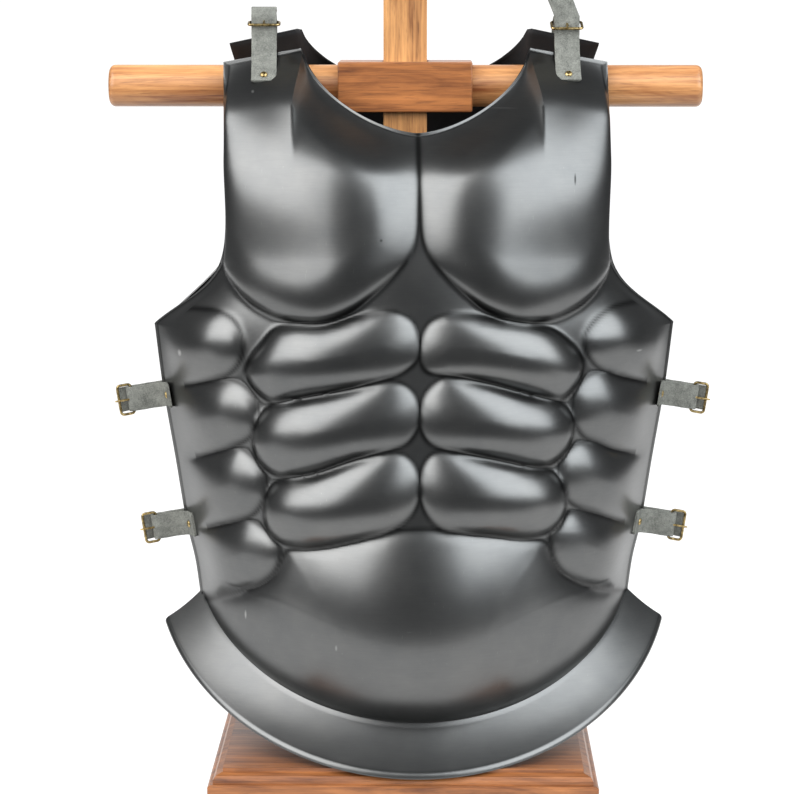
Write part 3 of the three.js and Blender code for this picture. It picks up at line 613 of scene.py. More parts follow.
# Outlines of the muscles, as distances from the plate's middle and heights above the ground, in millimetres.
# The breast is one side of a pair.
BLOCKS = (
    ((-1, 354), (0, 366), (-5, 382), (-15, 389), (-29, 391), (-46, 387), (-63, 382), (-79, 379),
     (-100, 378), (-111, 374), (-120, 363), (-131, 348), (-134, 337), (-127, 325), (-113, 316), (-93, 321),
     (-54, 330), (-28, 337), (-10, 345)),
    ((0, 303), (0, 315), (-4, 327), (-13, 335), (-28, 336.5), (-54, 329.5), (-93, 320.5), (-112, 315),
     (-122, 306), (-128, 293), (-129, 280), (-123, 266), (-112, 259), (-100, 258), (-80, 263), (-48, 276),
     (-22, 283), (-8, 290)),
    ((0, 246), (0, 260), (-4, 272), (-12, 280), (-23, 282), (-48, 275.5), (-80, 262.5), (-101, 257.5),
     (-112, 252), (-119, 240), (-121, 226), (-118, 214), (-109, 206), (-93, 203), (-74, 206), (-48, 213),
     (-22, 221), (-7, 232)),
    ((1, 350), (0, 361), (2, 372), (8, 382), (21, 388), (37, 388), (60, 384), (85, 379), (102, 374),
     (113, 366), (122, 357), (128, 346), (127, 335), (119, 323), (109, 317), (85, 324), (50, 335),
     (17, 341), (5, 344)),
    ((0, 301), (0, 313), (3, 325), (10, 334), (20, 340), (50, 334.5), (85, 323.5), (107, 317), (116, 309),
     (121, 298), (120, 286), (114, 275), (104, 268), (92, 266), (50, 277), (20, 283), (6, 290)),
    ((0, 246), (0, 260), (3, 272), (10, 281), (22, 282.5), (50, 276.5), (90, 265.5), (103, 262),
     (111, 253), (115, 241), (115, 229), (110, 219), (100, 213), (86, 211), (50, 217), (17, 222), (6, 232)),
)
FLANKS = (
    ((-230, 378), (-191, 381), (-172, 384), (-155, 384), (-143, 378), (-137, 367), (-136, 356),
     (-140, 344), (-149, 334), (-163, 328), (-187, 320), (-230, 306)),
    ((-230, 304), (-187, 319), (-163, 327.5), (-150, 331), (-137, 328), (-128, 319), (-124, 308),
     (-125, 297), (-132, 286), (-145, 277), (-181, 261), (-230, 241)),
    ((-230, 239), (-181, 260), (-150, 274.5), (-140, 277), (-129, 271), (-120, 260), (-118, 250),
     (-121, 237), (-130, 224), (-157, 211.5), (-171, 204), (-230, 181)),
    ((-230, 179), (-171, 203), (-150, 213), (-134, 220), (-121, 215), (-110, 204), (-108, 195),
     (-113, 181), (-124, 170), (-135, 164), (-153, 153), (-166, 143), (-230, 109)),
    ((230, 384), (190, 387), (165, 388), (151, 386), (138, 378), (130, 367), (131, 354), (139, 342),
     (150, 335), (163, 330.5), (186, 322), (230, 306)),
    ((230, 304), (186, 321), (161, 330), (146, 337), (132, 334), (122, 323), (120, 311), (122, 298),
     (130, 286), (141, 280), (154, 273), (181, 263), (230, 243)),
    ((230, 241), (181, 262), (154, 272.5), (138, 281), (124, 281), (113, 273), (109, 262), (110, 250),
     (116, 238), (127, 229), (140, 223), (170, 208), (230, 183)),
    ((230, 181), (170, 207), (143, 221), (127, 227), (112, 225), (103, 216), (103, 204), (106, 192),
     (113, 181), (128, 169.5), (145, 160), (168, 149), (230, 112)),
)
BREAST = (
    (0.4, 700), (0.4, 600), (0.4, 520), (0.4, 470), (2, 447), (8, 431), (18, 419), (34, 404), (52, 390),
    (76, 380), (103, 382), (127, 392), (145, 408), (158, 426), (175, 456), (200, 510), (220, 560),
    (226, 620), (226, 700))
BELLY = (
    (0, 222), (-22, 220), (-48, 212), (-74, 205), (-93, 202), (-103, 199), (-107, 190), (-113, 178),
    (-124, 168), (-136, 161), (-153, 151), (-168, 141), (-200, 122), (-190, 60), (-120, 10), (0, -12),
    (120, 10), (190, 60), (200, 122), (168, 147), (145, 158), (128, 167), (113, 178), (105, 190),
    (100, 205), (86, 210), (50, 216), (17, 221))


@dataclass(frozen=True)
class Neck:
    """Sizes of a plate's top edge, in millimetres. The reach is Y of the neckline's middle, less that of the
    shoulders."""

    half_neck: float
    neck_depth: float
    half_shoulder: float
    shoulder_drop: float
    shoulder_y: float
    top_z: float
    reach: float


@dataclass(frozen=True)
class Plate:
    """Sizes that both plates share, in millimetres."""

    wall: float = 1.2
    half_chest: float = 209.5
    height: float = 525.0
    wrap: float = math.radians(72.0)
    waist_z: float = 63.0
    half_waist: float = 174.93
    flange_reach: float = 35.0
    flange_side: float = 30.0
    flange_fall: float = 33.0
    lip: float = 1.5
    lip_width: float = 2.2

    def across(self, u: Array) -> tuple[Array, Array]:
        """Share of the half width and of the depth at places across the plate.

        Args:
            u: Places from -1 to 1.

        Returns:
            The share of the half width, and the depth, 1 at the middle and 0 at the edge.
        """
        angle = u * self.wrap
        depth = (np.cos(angle) - math.cos(self.wrap)) / (1 - math.cos(self.wrap))
        return np.sin(angle) / math.sin(self.wrap), depth

    def flat_cut(self, u: Array, half: float, depth: float, low: float, rise: float, edge_y: float) -> Array:
        """A line round the plate that lies in one plane: the waist's crease or the flange's rim.

        Args:
            u: Places from -1 to 1.
            half: Half its width.
            depth: Y of its middle, less that of its ends.
            low: Height of its middle.
            rise: How much higher its ends are.
            edge_y: Y of its ends.

        Returns:
            Points of shape places, 3.
        """
        x, out = self.across(u)
        return np.stack([x * half, edge_y + depth * out, low + rise * (1 - out)], axis=-1)

    def plan_normal(self, u: Array, depth: float, sign: int) -> Array:
        """Level direction straight out of the plate.

        Args:
            u: Places from -1 to 1.
            depth: The plate's depth.
            sign: -1 for the front and 1 for the back.

        Returns:
            Directions of shape places, 3.
        """
        angle = u * self.wrap
        x = np.sin(angle) * math.sin(self.wrap) / self.half_chest
        y = sign * np.cos(angle) * (1 - math.cos(self.wrap)) / depth
        return unit(np.stack([x, y, np.zeros_like(x)], axis=-1))

    def neckline(self, u: Array, edge: "Neck") -> Array:
        """Top edge of a plate: the neckline between two sloping shoulders.

        Args:
            u: Places from -1 to 1.
            edge: Its sizes.

        Returns:
            Points of shape places, 3.
        """
        x = self.across(u)[0] * edge.half_shoulder
        beyond = np.clip((np.abs(x) - edge.half_neck) / (edge.half_shoulder - edge.half_neck), 0.0, 1.0)
        inside = np.clip(np.abs(x) / edge.half_neck, 0.0, 1.0)
        bend, bow = 1.6, 0.9
        fall = (1 - inside ** bend) ** (1 / bend)
        y = edge.shoulder_y + edge.reach * fall ** bow
        return np.stack([x, y, edge.top_z - edge.shoulder_drop * beyond - edge.neck_depth * fall], axis=-1)

    @staticmethod
    def columns(controls: Array, corner: int, sharpness: Array, stops: Array) -> Array:
        """Smooth curves down the plate through its levels.

        Args:
            controls: Points of shape levels, columns, 3.
            corner: The level at the armpit, where the edge turns sharply.
            sharpness: How sharp the corner is in each column, from 0 to 1.
            stops: Rows as pairs of a level and the share of the way to the next.

        Returns:
            A grid of shape rows, columns, 3.
        """
        span = np.sqrt(np.linalg.norm(np.diff(controls, axis=0), axis=-1))[..., None]
        chord = np.diff(controls, axis=0) / span
        even = (chord[:-1] * span[1:] + chord[1:] * span[:-1]) / (span[:-1] + span[1:])
        ahead = np.concatenate([chord[:1], even, chord[-1:]])
        behind = ahead.copy()
        keen = sharpness[:, None]
        ahead[corner] = blend(ahead[corner], chord[corner], keen)
        behind[corner] = blend(behind[corner], chord[corner - 1], keen)
        k = stops[:, 0].astype(int)
        t = stops[:, 1][:, None, None]
        h = span[k]
        return (controls[k] * (2 * t ** 3 - 3 * t ** 2 + 1) + ahead[k] * (t ** 3 - 2 * t ** 2 + t) * h
                + controls[k + 1] * (3 * t ** 2 - 2 * t ** 3) + behind[k + 1] * (t ** 3 - t ** 2) * h)

    @staticmethod
    def stops(counts: Sequence[int]) -> Array:
        """Rows between levels, closer together near the top edge and the waist.

        Args:
            counts: Number of rows in each span.

        Returns:
            Pairs of a level and the share of the way to the next.
        """
        top_crowding, waist_crowding = 1.5, 1.3
        rows = []
        for k, count in enumerate(counts):
            t = np.arange(count) / count
            if k == 0:
                t = t ** top_crowding
            if k == len(counts) - 1:
                t = 1 - (1 - t) ** waist_crowding
            rows.append(np.stack([np.full(count, float(k)), t], axis=-1))
        rows.append(np.array([[len(counts) - 1.0, 1.0]]))
        return np.concatenate(rows)

    @staticmethod
    def places(count: int) -> Array:
        """Places across the plate from -1 to 1, closer together near its edges."""
        s = np.linspace(-1.0, 1.0, count)
        return s - 0.42 * np.sin(2 * np.pi * s) / (2 * np.pi)

    @staticmethod
    def above_waist(stops: Array) -> Array:
        """Share of a muscle's height that is left at every row, which falls to zero at the waist."""
        last = np.where(stops[:, 0] == stops[-1, 0], stops[:, 1], 0.0)
        return ((1 - last ** 3) ** 0.6)[:, None]

    @staticmethod
    def armpit_sharpness(u: Array) -> Array:
        """How sharp the corner at the armpit is in each column, from 0 to 1."""
        return smooth(5 * np.abs(u) - 4)


@dataclass(frozen=True)
class Breastplate:
    """Front plate: breast, three rows of abdominal blocks, four side blocks, belly and waist flange."""

    plate: Plate = Plate()
    depth: float = 142.0
    neck: Neck = Neck(89.5, 64.0, 151.0, 11.0, -24.05, 588.0, -0.42 * 142.0)
    waist_front: float = 0.845
    waist_rise: float = 0.156
    sections: tuple[Section, ...] = (
        Section(0.810, 0.826, 0.832, 0.842, 0.716, 0.80, 0.42),
        Section(0.703, 0.696, 0.692, 0.680, 0.737, 0.89, 0.38),
        Section(0.608, 0.592, 0.588, 0.577, 1.000, 0.92),
        Section(0.530, 0.484, 0.518, 0.482, 0.972, 0.94),
        Section(0.420, 0.372, 0.418, 0.368, 0.926, 0.96),
        Section(0.302, 0.270, 0.306, 0.262, 0.884, 0.98),
        Section(0.130, 0.180, 0.190, 0.205, 0.852, 0.98),
    )
    rows: tuple[int, ...] = (52, 40, 30, 32, 34, 34, 42, 34)
    armpit_level: int = 3
    flange_rows: int = 18
    flange_flat: float = 0.9
    flange_sag: float = 1.5
    turned_share: tuple[float, ...] = (0.93, 0.955, 0.975, 0.99, 0.998, 1.0)
    turned_drop: tuple[float, ...] = (0.0, 0.15, 0.5, 1.1, 1.9, 3.0)
    column_count: int = 301
    muscles: tuple[Muscle, ...] = (
        *(Muscle(outline, 17.5, 0.75) for outline in BLOCKS), Muscle(BELLY, 15.6, 0.0, 0.18, 5.0))
    flanks: tuple[Muscle, ...] = tuple(Muscle(outline, 14.0) for outline in FLANKS)
    breast_lift: float = 16.0
    breast_round: float = 34.0
    sternum_round: float = 66.0
    breast_slope: float = 54.0
    flank_flat: float = 0.96
    flank_full: float = 0.60
    # Width of the painted shade along the creases, middle and width of the painted shade bands beside the lip
    # and at the rim's turn, and the strength of these bands.
    crease_shade_width: float = 2.1
    lip_shade_band: tuple[float, float] = (3.6, 1.0)
    rim_shade_band: tuple[float, float] = (0.92, 0.015)
    faint_shade: float = 0.8

    def controls(self, u: Array) -> Array:
        """Points of every level of the plate.

        Args:
            u: Places from -1 to 1.

        Returns:
            Points of shape levels, places, 3.
        """
        plate = self.plate
        x, out = plate.across(u)
        levels = [plate.neckline(u, self.neck)]
        for section in self.sections:
            y = -self.depth * blend(section.edge, section.front, out)
            z = plate.waist_z + plate.height * section.height(u)
            levels.append(np.stack([x * section.half * plate.half_chest, y, z], axis=-1))
        levels.append(plate.flat_cut(u, plate.half_waist, -self.depth * self.waist_front, plate.waist_z,
                                     self.waist_rise * plate.height, 0.0))
        return np.stack(levels)

    def rim(self, u: Array) -> Array:
        """Outer rim of the waist flange.

        Args:
            u: Places from -1 to 1.

        Returns:
            Points of shape places, 3.
        """
        plate = self.plate
        rise = self.waist_rise * plate.height + plate.flange_fall - 0.8 * plate.flange_side
        return plate.flat_cut(u, plate.half_waist + plate.flange_side,
                              -self.waist_front * self.depth - plate.flange_reach,
                              plate.waist_z - plate.flange_fall, rise, 0.0)

    def relief(self, x: Array, z: Array, flank: Array, down: Array) -> tuple[Array, Array]:
        """How far the plate is raised by its muscles, and how near its creases are.

        Args:
            x: Distances across from the middle.
            z: Heights.
            flank: Share of the flank muscles' height that is left at each column.
            down: Distances below the neck and the shoulders.

        Returns:
            Heights above the plate's own surface, and the distance to the nearest crease.
        """
        side, seam_from = np.abs(x), 0.3
        raised, crease = np.zeros_like(x), np.full_like(x, FAR)
        for muscle in self.muscles:
            height, distance = muscle.raised(x, z)
            raised, crease = np.maximum(raised, height), np.minimum(crease, distance)
        for muscle in self.flanks:
            height, distance = muscle.raised(x, z)
            distance = np.where(flank > seam_from, distance, FAR)
            raised, crease = np.maximum(raised, flank * height), np.minimum(crease, distance)
        depth = Muscle(BREAST).inside(side.ravel(), z.ravel()).reshape(x.shape)
        t = np.clip(depth / self.breast_round, 0.0, 1.0)
        breast = np.where(depth > 0, np.sqrt(1 - (1 - t) ** 2) * self.breast_lift, 0.0)
        across = 1 - (1 - np.clip(side / self.sternum_round, 0.0, 1.0)) ** 2
        upper = smooth(down / self.breast_slope)
        return np.maximum(raised, upper * across * breast), np.minimum(crease, np.abs(depth))

    def face(self) -> tuple[Array, Array]:
        """The plate's outer face, flange included, as a grid of points in millimetres.

        Returns:
            The points, and the painted shade that darkens each, from 0 to 1, in creases and beside the rolled
            edges.
        """
        plate = self.plate
        u = plate.places(self.column_count)
        stops = plate.stops(self.rows)
        base = plate.columns(self.controls(u), self.armpit_level, plate.armpit_sharpness(u), stops)
        down, aside = edge_distances(base)
        slope = self.even_out(base, down, stops, u)
        flank = smooth((self.flank_flat - np.abs(u)) / (self.flank_flat - self.flank_full))
        relief, crease = self.relief(base[..., 0], base[..., 2], np.broadcast_to(flank, down.shape), slope)
        at_edge, relief_passes = 0.5, 3
        fade = plate.above_waist(stops) * (1 - at_edge * np.abs(u) ** 24)
        raised = soften_grid(fade * relief, relief_passes)
        edge = np.minimum(down, aside)
        lip = plate.lip * bell(edge, 0.0, plate.lip_width)
        normal = plate.plan_normal(u, self.depth, -1)[None]
        ahead = unit(normal * np.stack([1 - np.abs(u) ** 3, np.ones_like(u), np.ones_like(u)], axis=-1))
        face = base + ahead * raised[..., None] + normal * lip[..., None]
        # Painted shade: a faint dark band a few millimetres in from the rolled lip.
        lip_shade = self.faint_shade * bell(edge, *self.lip_shade_band)
        # Painted shade, darkest along the muscles' creases.
        painted_shade = np.maximum(bell(crease, 0.0, self.crease_shade_width), lip_shade)
        flange, rim_painted_shade = self.flange(base[-1], u)
        return np.concatenate([face, flange]), np.concatenate([painted_shade, rim_painted_shade])

    @staticmethod
    def even_out(base: Array, down: Array, stops: Array, u: Array) -> Array:
        """Evens out the plate's depths across the breast, below the neck and the shoulders.

        Args:
            base: The plate's grid, whose depths are changed in place.
            down: Distances from the top edge.
            stops: Pairs of a level and the share of the way to the next.
            u: Places of the columns.

        Returns:
            Distances from the top edge, evened out across the plate.
        """
        depth_passes, distance_passes, clear = 90, 120, 16.0
        last_level, fading_levels = 2.6, 1.6
        even = soften_grid(base[..., 1], depth_passes, (1,))
        slope = soften_grid(down, distance_passes, (1,))
        level = stops.sum(axis=1)[:, None]
        share = smooth(slope / clear) * smooth((last_level - level) / fading_levels) * (1 - np.abs(u) ** 16)
        base[..., 1] = blend(base[..., 1], even, share)
        return slope

    def flange(self, waist: Array, u: Array) -> tuple[Array, Array]:
        """The flange from the waist to its rim, which is turned down.

        Args:
            waist: Points of the waist's crease.
            u: Places of the columns.

        Returns:
            The points, and the painted shade that darkens each, from 0 to 1, in a faint band where the rim
            turns down.
        """
        flat = np.linspace(0.0, self.flange_flat, self.flange_rows)[1:]
        t = np.concatenate([flat, self.turned_share])
        drop = self.flange_sag * np.sin(np.pi * t) + np.concatenate([np.zeros_like(flat), self.turned_drop])
        points = blend(waist[None], self.rim(u)[None], t[:, None, None])
        points = points - drop[:, None, None] * np.array([0.0, 0.0, 1.0])
        # Painted shade: a faint dark band across the rows where the rim turns down.
        seam = self.faint_shade * bell(t, *self.rim_shade_band)
        return points, np.broadcast_to(seam[:, None], points.shape[:2])


@dataclass(frozen=True)
class Backplate:
    """Back plate: shoulder blades either side of a shallow spine, and a waist flange."""

    plate: Plate = Plate()
    depth: float = 118.0
    neck: Neck = Neck(91.0, 50.0, 147.0, 12.0, 3.34, 603.0, 0.55 * 118.0)
    bearing_y: float = 22.34
    bearing_z: float = 564.7
    bearing_width: float = 0.96
    tuck: float = 5.0
    seam: float = 4.0
    waist_front: float = 0.76
    waist_rise: float = 0.100
    waist_lift: float = 0.056
    sections: tuple[Section, ...] = (
        Section(0.800, 0.800, 0.800, 0.800, 0.700, 0.92, 0.36),
        Section(0.690, 0.690, 0.690, 0.690, 0.730, 1.00, 0.24),
        Section(0.577, 0.577, 0.577, 0.577, 1.000, 0.98),
        Section(0.420, 0.420, 0.420, 0.420, 0.950, 0.86),
        Section(0.250, 0.255, 0.258, 0.270, 0.885, 0.72),
    )
    rows: tuple[int, ...] = (22, 26, 24, 24, 26, 26, 26)
    armpit_level: int = 4
    lip_shade_band: tuple[float, float] = (4.2, 1.1)
    flange_rows: int = 14
    column_count: int = 181

    def controls(self, u: Array) -> Array:
        """Points of every level of the plate.

        Args:
            u: Places from -1 to 1.

        Returns:
            Points of shape levels, places, 3.
        """
        plate = self.plate
        x, out = plate.across(u)
        edge = plate.neckline(u, self.neck)
        lean = self.bearing_y - self.neck.shoulder_y
        bearing = np.stack([
            edge[:, 0] * self.bearing_width,
            np.maximum(edge[:, 1] + lean, self.bearing_y),
            np.minimum(self.bearing_z, edge[:, 2] - self.neck.shoulder_drop),
        ], axis=-1)
        levels = [edge, bearing]
        for section in self.sections:
            y = self.seam + self.depth * blend(section.edge, section.front, out)
            z = plate.waist_z + plate.height * section.height(u)
            levels.append(np.stack([x * (section.half * plate.half_chest - self.tuck), y, z], axis=-1))
        low = plate.waist_z + plate.height * self.waist_lift
        levels.append(plate.flat_cut(u, plate.half_waist - self.tuck, self.depth * self.waist_front, low,
                                     self.waist_rise * plate.height, self.seam))
        return np.stack(levels)

    def relief(self, x: Array, z: Array) -> Array:
        """How far the plate is raised by the shoulder blades and sunk along the spine.

        Args:
            x: Distances across from the middle.
            z: Heights above the waist.

        Returns:
            Heights above the plate's own surface.
        """
        side = np.abs(x)
        blade_x, blade_z, half_blade, tall_blade, blade_lift = 75.4, 378.0, 71.2, 89.25, 8.26
        half_furrow, furrow_end, furrow_depth = 46.1, 157.5, 7.08
        apart = ((side - blade_x) / half_blade) ** 2 + ((z - blade_z) / tall_blade) ** 2
        blade = blade_lift * np.clip(1 - apart, 0.0, 1.0) ** 1.5
        furrow = furrow_depth * np.clip(1 - (side / half_furrow) ** 2, 0.0, 1.0) ** 2 * smooth(z / furrow_end)
        return blade - furrow

    def face(self) -> tuple[Array, Array]:
        """The plate's outer face, flange included, as a grid of points in millimetres.

        Returns:
            The points, and the painted shade that darkens each, from 0 to 1, in a band beside the rolled lip.
        """
        plate = self.plate
        u = plate.places(self.column_count)
        stops = plate.stops(self.rows)
        base = plate.columns(self.controls(u), self.armpit_level, plate.armpit_sharpness(u), stops)
        fade = plate.above_waist(stops) * (1 - np.abs(u) ** 8)
        raised = fade * self.relief(base[..., 0], base[..., 2] - plate.waist_z)
        edge = np.minimum(*edge_distances(base))
        lip = plate.lip * bell(edge, 0.0, plate.lip_width)
        # Painted shade: a dark band beside the rolled lip.
        painted_shade = bell(edge, *self.lip_shade_band)
        face = base + plate.plan_normal(u, self.depth, 1)[None] * (raised + lip)[..., None]
        rim = plate.flat_cut(
            u, plate.half_waist - self.tuck + plate.flange_side,
            self.waist_front * self.depth + plate.flange_reach,
            plate.waist_z + self.waist_lift * plate.height - plate.flange_fall,
            self.waist_rise * plate.height + plate.flange_fall - 0.8 * plate.flange_side, self.seam)
        t = np.linspace(0.0, 1.0, self.flange_rows + 1)[1:, None, None]
        flange = blend(base[-1][None], rim[None], t)
        return np.concatenate([face, flange]), np.concatenate([painted_shade, np.zeros(flange.shape[:2])])


@dataclass(frozen=True)
class Hang:
    """How the cuirass hangs on the stand: moved aside and turned."""

    aside: float = 7.5 * MM
    turn: float = math.radians(2.2)

    def place(self, piece: bpy.types.Object) -> None:
        """Moves a piece's mesh from the cuirass's own place to where it hangs."""
        move = Matrix.Translation((self.aside, 0.0, 0.0)) @ Matrix.Rotation(self.turn, 4, "Z")
        piece.data.transform(move)


def finish_piece(piece: bpy.types.Object, finish: Finish, slot: str, *nodes: str) -> None:
    """Dresses a piece, attaches it to the body and hides the nodes it stands for.

    Args:
        piece: The piece.
        finish: Its material.
        slot: Name of a material slot; not used.
        *nodes: The nodes it replaces.
    """
    piece.data.materials.clear()
    piece.data.materials.append(finish.material)
    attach(piece, BODY)
    if nodes:
        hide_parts(*nodes)
    log.info("%s: %d faces", piece.name, len(piece.data.polygons))


def make_plate(name: str, face: Array, painted_shade: Array, sign: int, finish: Finish, lining: Finish,
               hang: Hang) -> None:
    """Makes a plate's outer face with its edges, and its inner face as a piece of its own.

    Args:
        name: The node that the plate stands for.
        face: Grid of points of the outer face, in millimetres.
        painted_shade: Painted shade that darkens each point's colour, from 0 to 1, in creases and beside
            rolled edges.
        sign: -1 for the front and 1 for the back.
        finish: Material of the outer face.
        lining: Material of the inner face.
        hang: How the cuirass hangs.
    """
    wall = Plate().wall
    normal = -sign * grid_normals(face)
    inner = face - normal * wall
    outside = MeshParts()
    index = outside.add_grid(face * MM, flip=sign > 0)
    edges = ((index[0, ::-1], inner[0, ::-1]), (index[-1], inner[-1]), (index[:, 0], inner[:, 0]),
             (index[::-1, -1], inner[::-1, -1]))
    for outer_edge, inner_edge in edges:
        start = outside.add_points(inner_edge * MM)
        under = np.arange(len(inner_edge)) + start
        outside.add_faces(np.stack([outer_edge, under]), flip=sign < 0)
    piece = outside.build(f"{name}_face", 50.0, painted_shade)
    hang.place(piece)
    finish_piece(piece, finish, "steel", name)
    inside = MeshParts()
    inside.add_grid(inner * MM, flip=sign < 0)
    piece = inside.build(f"{name}_inside", 50.0)
    hang.place(piece)
    finish_piece(piece, lining, "steel", name)


def rounded_section(half_wall: float, half_width: float, radius: float, steps: int = 4) -> Array:
    """Outline of a strap's section with rounded edges.

    Args:
        half_wall: Half the strap's thickness.
        half_width: Half its width.
        radius: Radius of its edges.
        steps: Points on each edge's curve.

    Returns:
        Pairs of height and width.
    """
    turn = np.linspace(0.0, np.pi / 2, steps)
    quarter = np.stack([half_wall - radius + radius * np.cos(turn),
                        half_width - radius + radius * np.sin(turn)], axis=-1)
    signs = ((1, 1), (-1, 1), (-1, -1), (1, -1))
    return np.concatenate([np.array([high, wide]) * (quarter if high == wide else quarter[::-1])
                           for high, wide in signs])


@dataclass(frozen=True)
class StrapSet:
    """One fastened strap: two leathers, a buckle with its tongue and two rivets. Its lines lie in a plane
    with the axes p and q, and w is the way across the strap. Millimetres, in the cuirass's own place."""

    name: str
    origin: tuple[float, float, float]
    p: tuple[float, float, float]
    q: tuple[float, float, float]
    w: tuple[float, float, float]
    front: tuple[tuple[float, float], ...]
    back: tuple[tuple[float, float], ...]
    near: tuple[float, float]
    far: tuple[float, float]
    front_rivet: tuple[tuple[float, ...], tuple[float, ...], float]
    back_rivet: tuple[tuple[float, ...], tuple[float, ...], float]
    over: int
    lean: float = 0.0
    lean_above: float = 0.0
    free_end: bool = False

    def to_place(self, p: Array, q: Array, w: Array) -> Array:
        """Points in metres in the cuirass's own place, from millimetres in the strap's plane."""
        axes = np.array([self.p, self.q, self.w])
        return (np.array(self.origin) + np.stack([p, q, w], axis=-1) @ axes) * MM

    def carried(self, line: Array, height: Array, w: Array) -> Array:
        """Points of a section that is carried along a line in the strap's plane.

        Args:
            line: Points of the line, of shape count, 2.
            height: Distances of the section's points from the line, within the plane.
            w: Their distances across the strap.

        Returns:
            Points in metres, of shape count, section points, 3.
        """
        tangent = unit(np.gradient(line, axis=0))
        return self.to_place(line[:, :1] - tangent[:, 1:] * height, line[:, 1:] + tangent[:, :1] * height, w)


@dataclass(frozen=True)
class StrapWork:
    """Makes the pieces of the straps. Sizes in millimetres."""

    leather: Finish
    brass: Finish
    hang: Hang
    plates: dict[str, Array]
    bedding: float = 0.1
    bedding_points: int = 6
    seated_knots: int = 3
    width: float = 20.0
    wall: float = 2.2
    edge_radius: float = 0.75
    end_corner: float = 1.6
    tip_length: float = 9.0
    tip_inset: float = 6.5
    ripples: tuple[tuple[float, float, float], ...] = ((0.056, 0.55, 1.3), (0.035, 1.31, 0.0))
    wire: float = 1.1
    tongue: float = 0.9
    fit: float = 0.3
    buckle_width: float = 26.2
    buckle_corner: float = 2.5
    tongue_reach: float = 2.5
    point_bend: tuple[float, ...] = (0.1, 0.25, 0.45)
    point_taper: tuple[float, ...] = (0.95, 0.8, 0.5)
    tail: tuple[tuple[float, float], ...] = ((0.01, -1.0), (2.2, -1.0), (2.5, -0.6), (2.5, 0.0), (1.3, 0.0))
    head: tuple[tuple[float, float], ...] = (
        (1.3, 0.0), (3.0, 0.0), (3.0, 0.1), (2.95, 0.12), (2.75, 0.5), (2.35, 0.95), (1.6, 1.28), (0.8, 1.38),
        (0.01, 1.4))

    def add(self, parts: MeshParts, name: str, finish: Finish, slot: str, node: str, crease: float) -> None:
        """Makes a piece from its parts, hangs it and dresses it.

        Args:
            parts: Its points and faces.
            name: Its name.
            finish: Its material.
            slot: The material slot's name, passed on to finish_piece.
            node: The node it replaces.
            crease: Angle in degrees above which an edge is shaded sharp.
        """
        piece = parts.build(name, crease)
        self.hang.place(piece)
        finish_piece(piece, finish, slot, node)

    @staticmethod
    def closed_tube(points: Array) -> MeshParts:
        """A section carried along a line, closed at both ends by a fan.

        Args:
            points: Points of shape count, section points, 3.

        Returns:
            The points and faces.
        """
        parts = MeshParts()
        index = parts.add_grid(points, wrap_columns=True)
        parts.add_fan(index[0], points[0].mean(axis=0), flip=True)
        parts.add_fan(index[-1], points[-1].mean(axis=0))
        return parts

    def sink(self, strap: StrapSet, which: str) -> float:
        """How far a leather's end moves in so that it lies on its plate.

        Args:
            strap: The strap set.
            which: front or back.

        Returns:
            The distance along the rivet, in millimetres.
        """
        head, normal, _ = getattr(strap, f"{which}_rivet")
        under = np.array(head) - np.array(normal) * self.wall
        plate = self.plates[which].reshape(-1, 3)
        close = plate[np.argsort(np.linalg.norm(plate - under, axis=1))[:self.bedding_points]]
        return float(((under - close) @ np.array(normal)).mean()) - self.bedding

    def strap(self, strap: StrapSet, which: str) -> None:
        """Makes one leather.

        Args:
            strap: The strap set.
            which: front or back.
        """
        knots = np.array(getattr(strap, which))
        normal = np.array(getattr(strap, f"{which}_rivet")[1])
        inwards = np.array([normal @ np.array(strap.p), normal @ np.array(strap.q)])
        knots[:self.seated_knots] -= self.sink(strap, which) * inwards
        line = smooth_line(knots, 10)
        length = np.linalg.norm(np.diff(line, axis=0, prepend=line[:1]), axis=-1).cumsum()
        to_tip = length[-1] - length
        corner = self.end_corner
        into_corner = np.clip(corner - np.minimum(length, to_tip), 0, corner)
        inset = corner - np.sqrt(corner ** 2 - into_corner ** 2)
        if strap.free_end and which == "front":
            near_tip = np.clip((self.tip_length - to_tip) / self.tip_length, 0.0, 1.0)
            inset = np.maximum(inset, self.tip_inset * near_tip ** 2)
        ripple = sum(size * np.sin(length * rate + phase) for size, rate, phase in self.ripples)
        half = self.width / 2
        section = rounded_section(self.wall / 2, half, self.edge_radius)
        w = section[None, :, 1] / half * (half - inset + ripple)[:, None]
        if which == "front":
            w = w + strap.lean * np.clip(line[:, :1] - strap.lean_above, 0.0, None)
        name = f"{strap.name}_{which}_leather"
        parts = self.closed_tube(strap.carried(line, section[None, :, 0], w))
        self.add(parts, name + "_strap", self.leather, "leather", name, 60.0)

    def buckle(self, strap: StrapSet) -> None:
        """Makes the buckle's wire frame.

        Args:
            strap: The strap set.
        """
        near, far = np.array(strap.near), np.array(strap.far)
        length = np.linalg.norm(far - near)
        along = (far - near) / length
        half, r = self.buckle_width / 2 - self.wire, self.buckle_corner
        arc = np.linspace(0.0, np.pi / 2, 9)
        ring, out = [], []
        for quarter, (ends, sides) in enumerate(((1, 1), (-1, 1), (-1, -1), (1, -1))):
            angle = arc + quarter * np.pi / 2
            centre = np.array([length / 2 + ends * (length / 2 - r), sides * (half - r)])
            direction = np.stack([np.cos(angle), np.sin(angle)], axis=-1)
            ring.append(centre + r * direction)
            out.append(direction)
        ring, out = np.concatenate(ring), np.concatenate(out)
        turn = np.linspace(0.0, 2 * np.pi, 13)[:-1]
        a, w = np.moveaxis(ring[:, None] + self.wire * np.cos(turn)[:, None] * out[:, None], -1, 0)
        lift = self.wire * np.sin(turn)[None]
        points = strap.to_place(near[0] + along[0] * a - along[1] * lift,
                                near[1] + along[1] * a + along[0] * lift, w)
        parts = MeshParts()
        index = parts.add_grid(points, flip=True, wrap_columns=True)
        parts.add_faces(np.stack([index[-1], index[0]]), flip=True, wrap_columns=True)
        self.add(parts, f"{strap.name}_buckle_frame", self.brass, "brass", f"{strap.name}_buckle", 60.0)

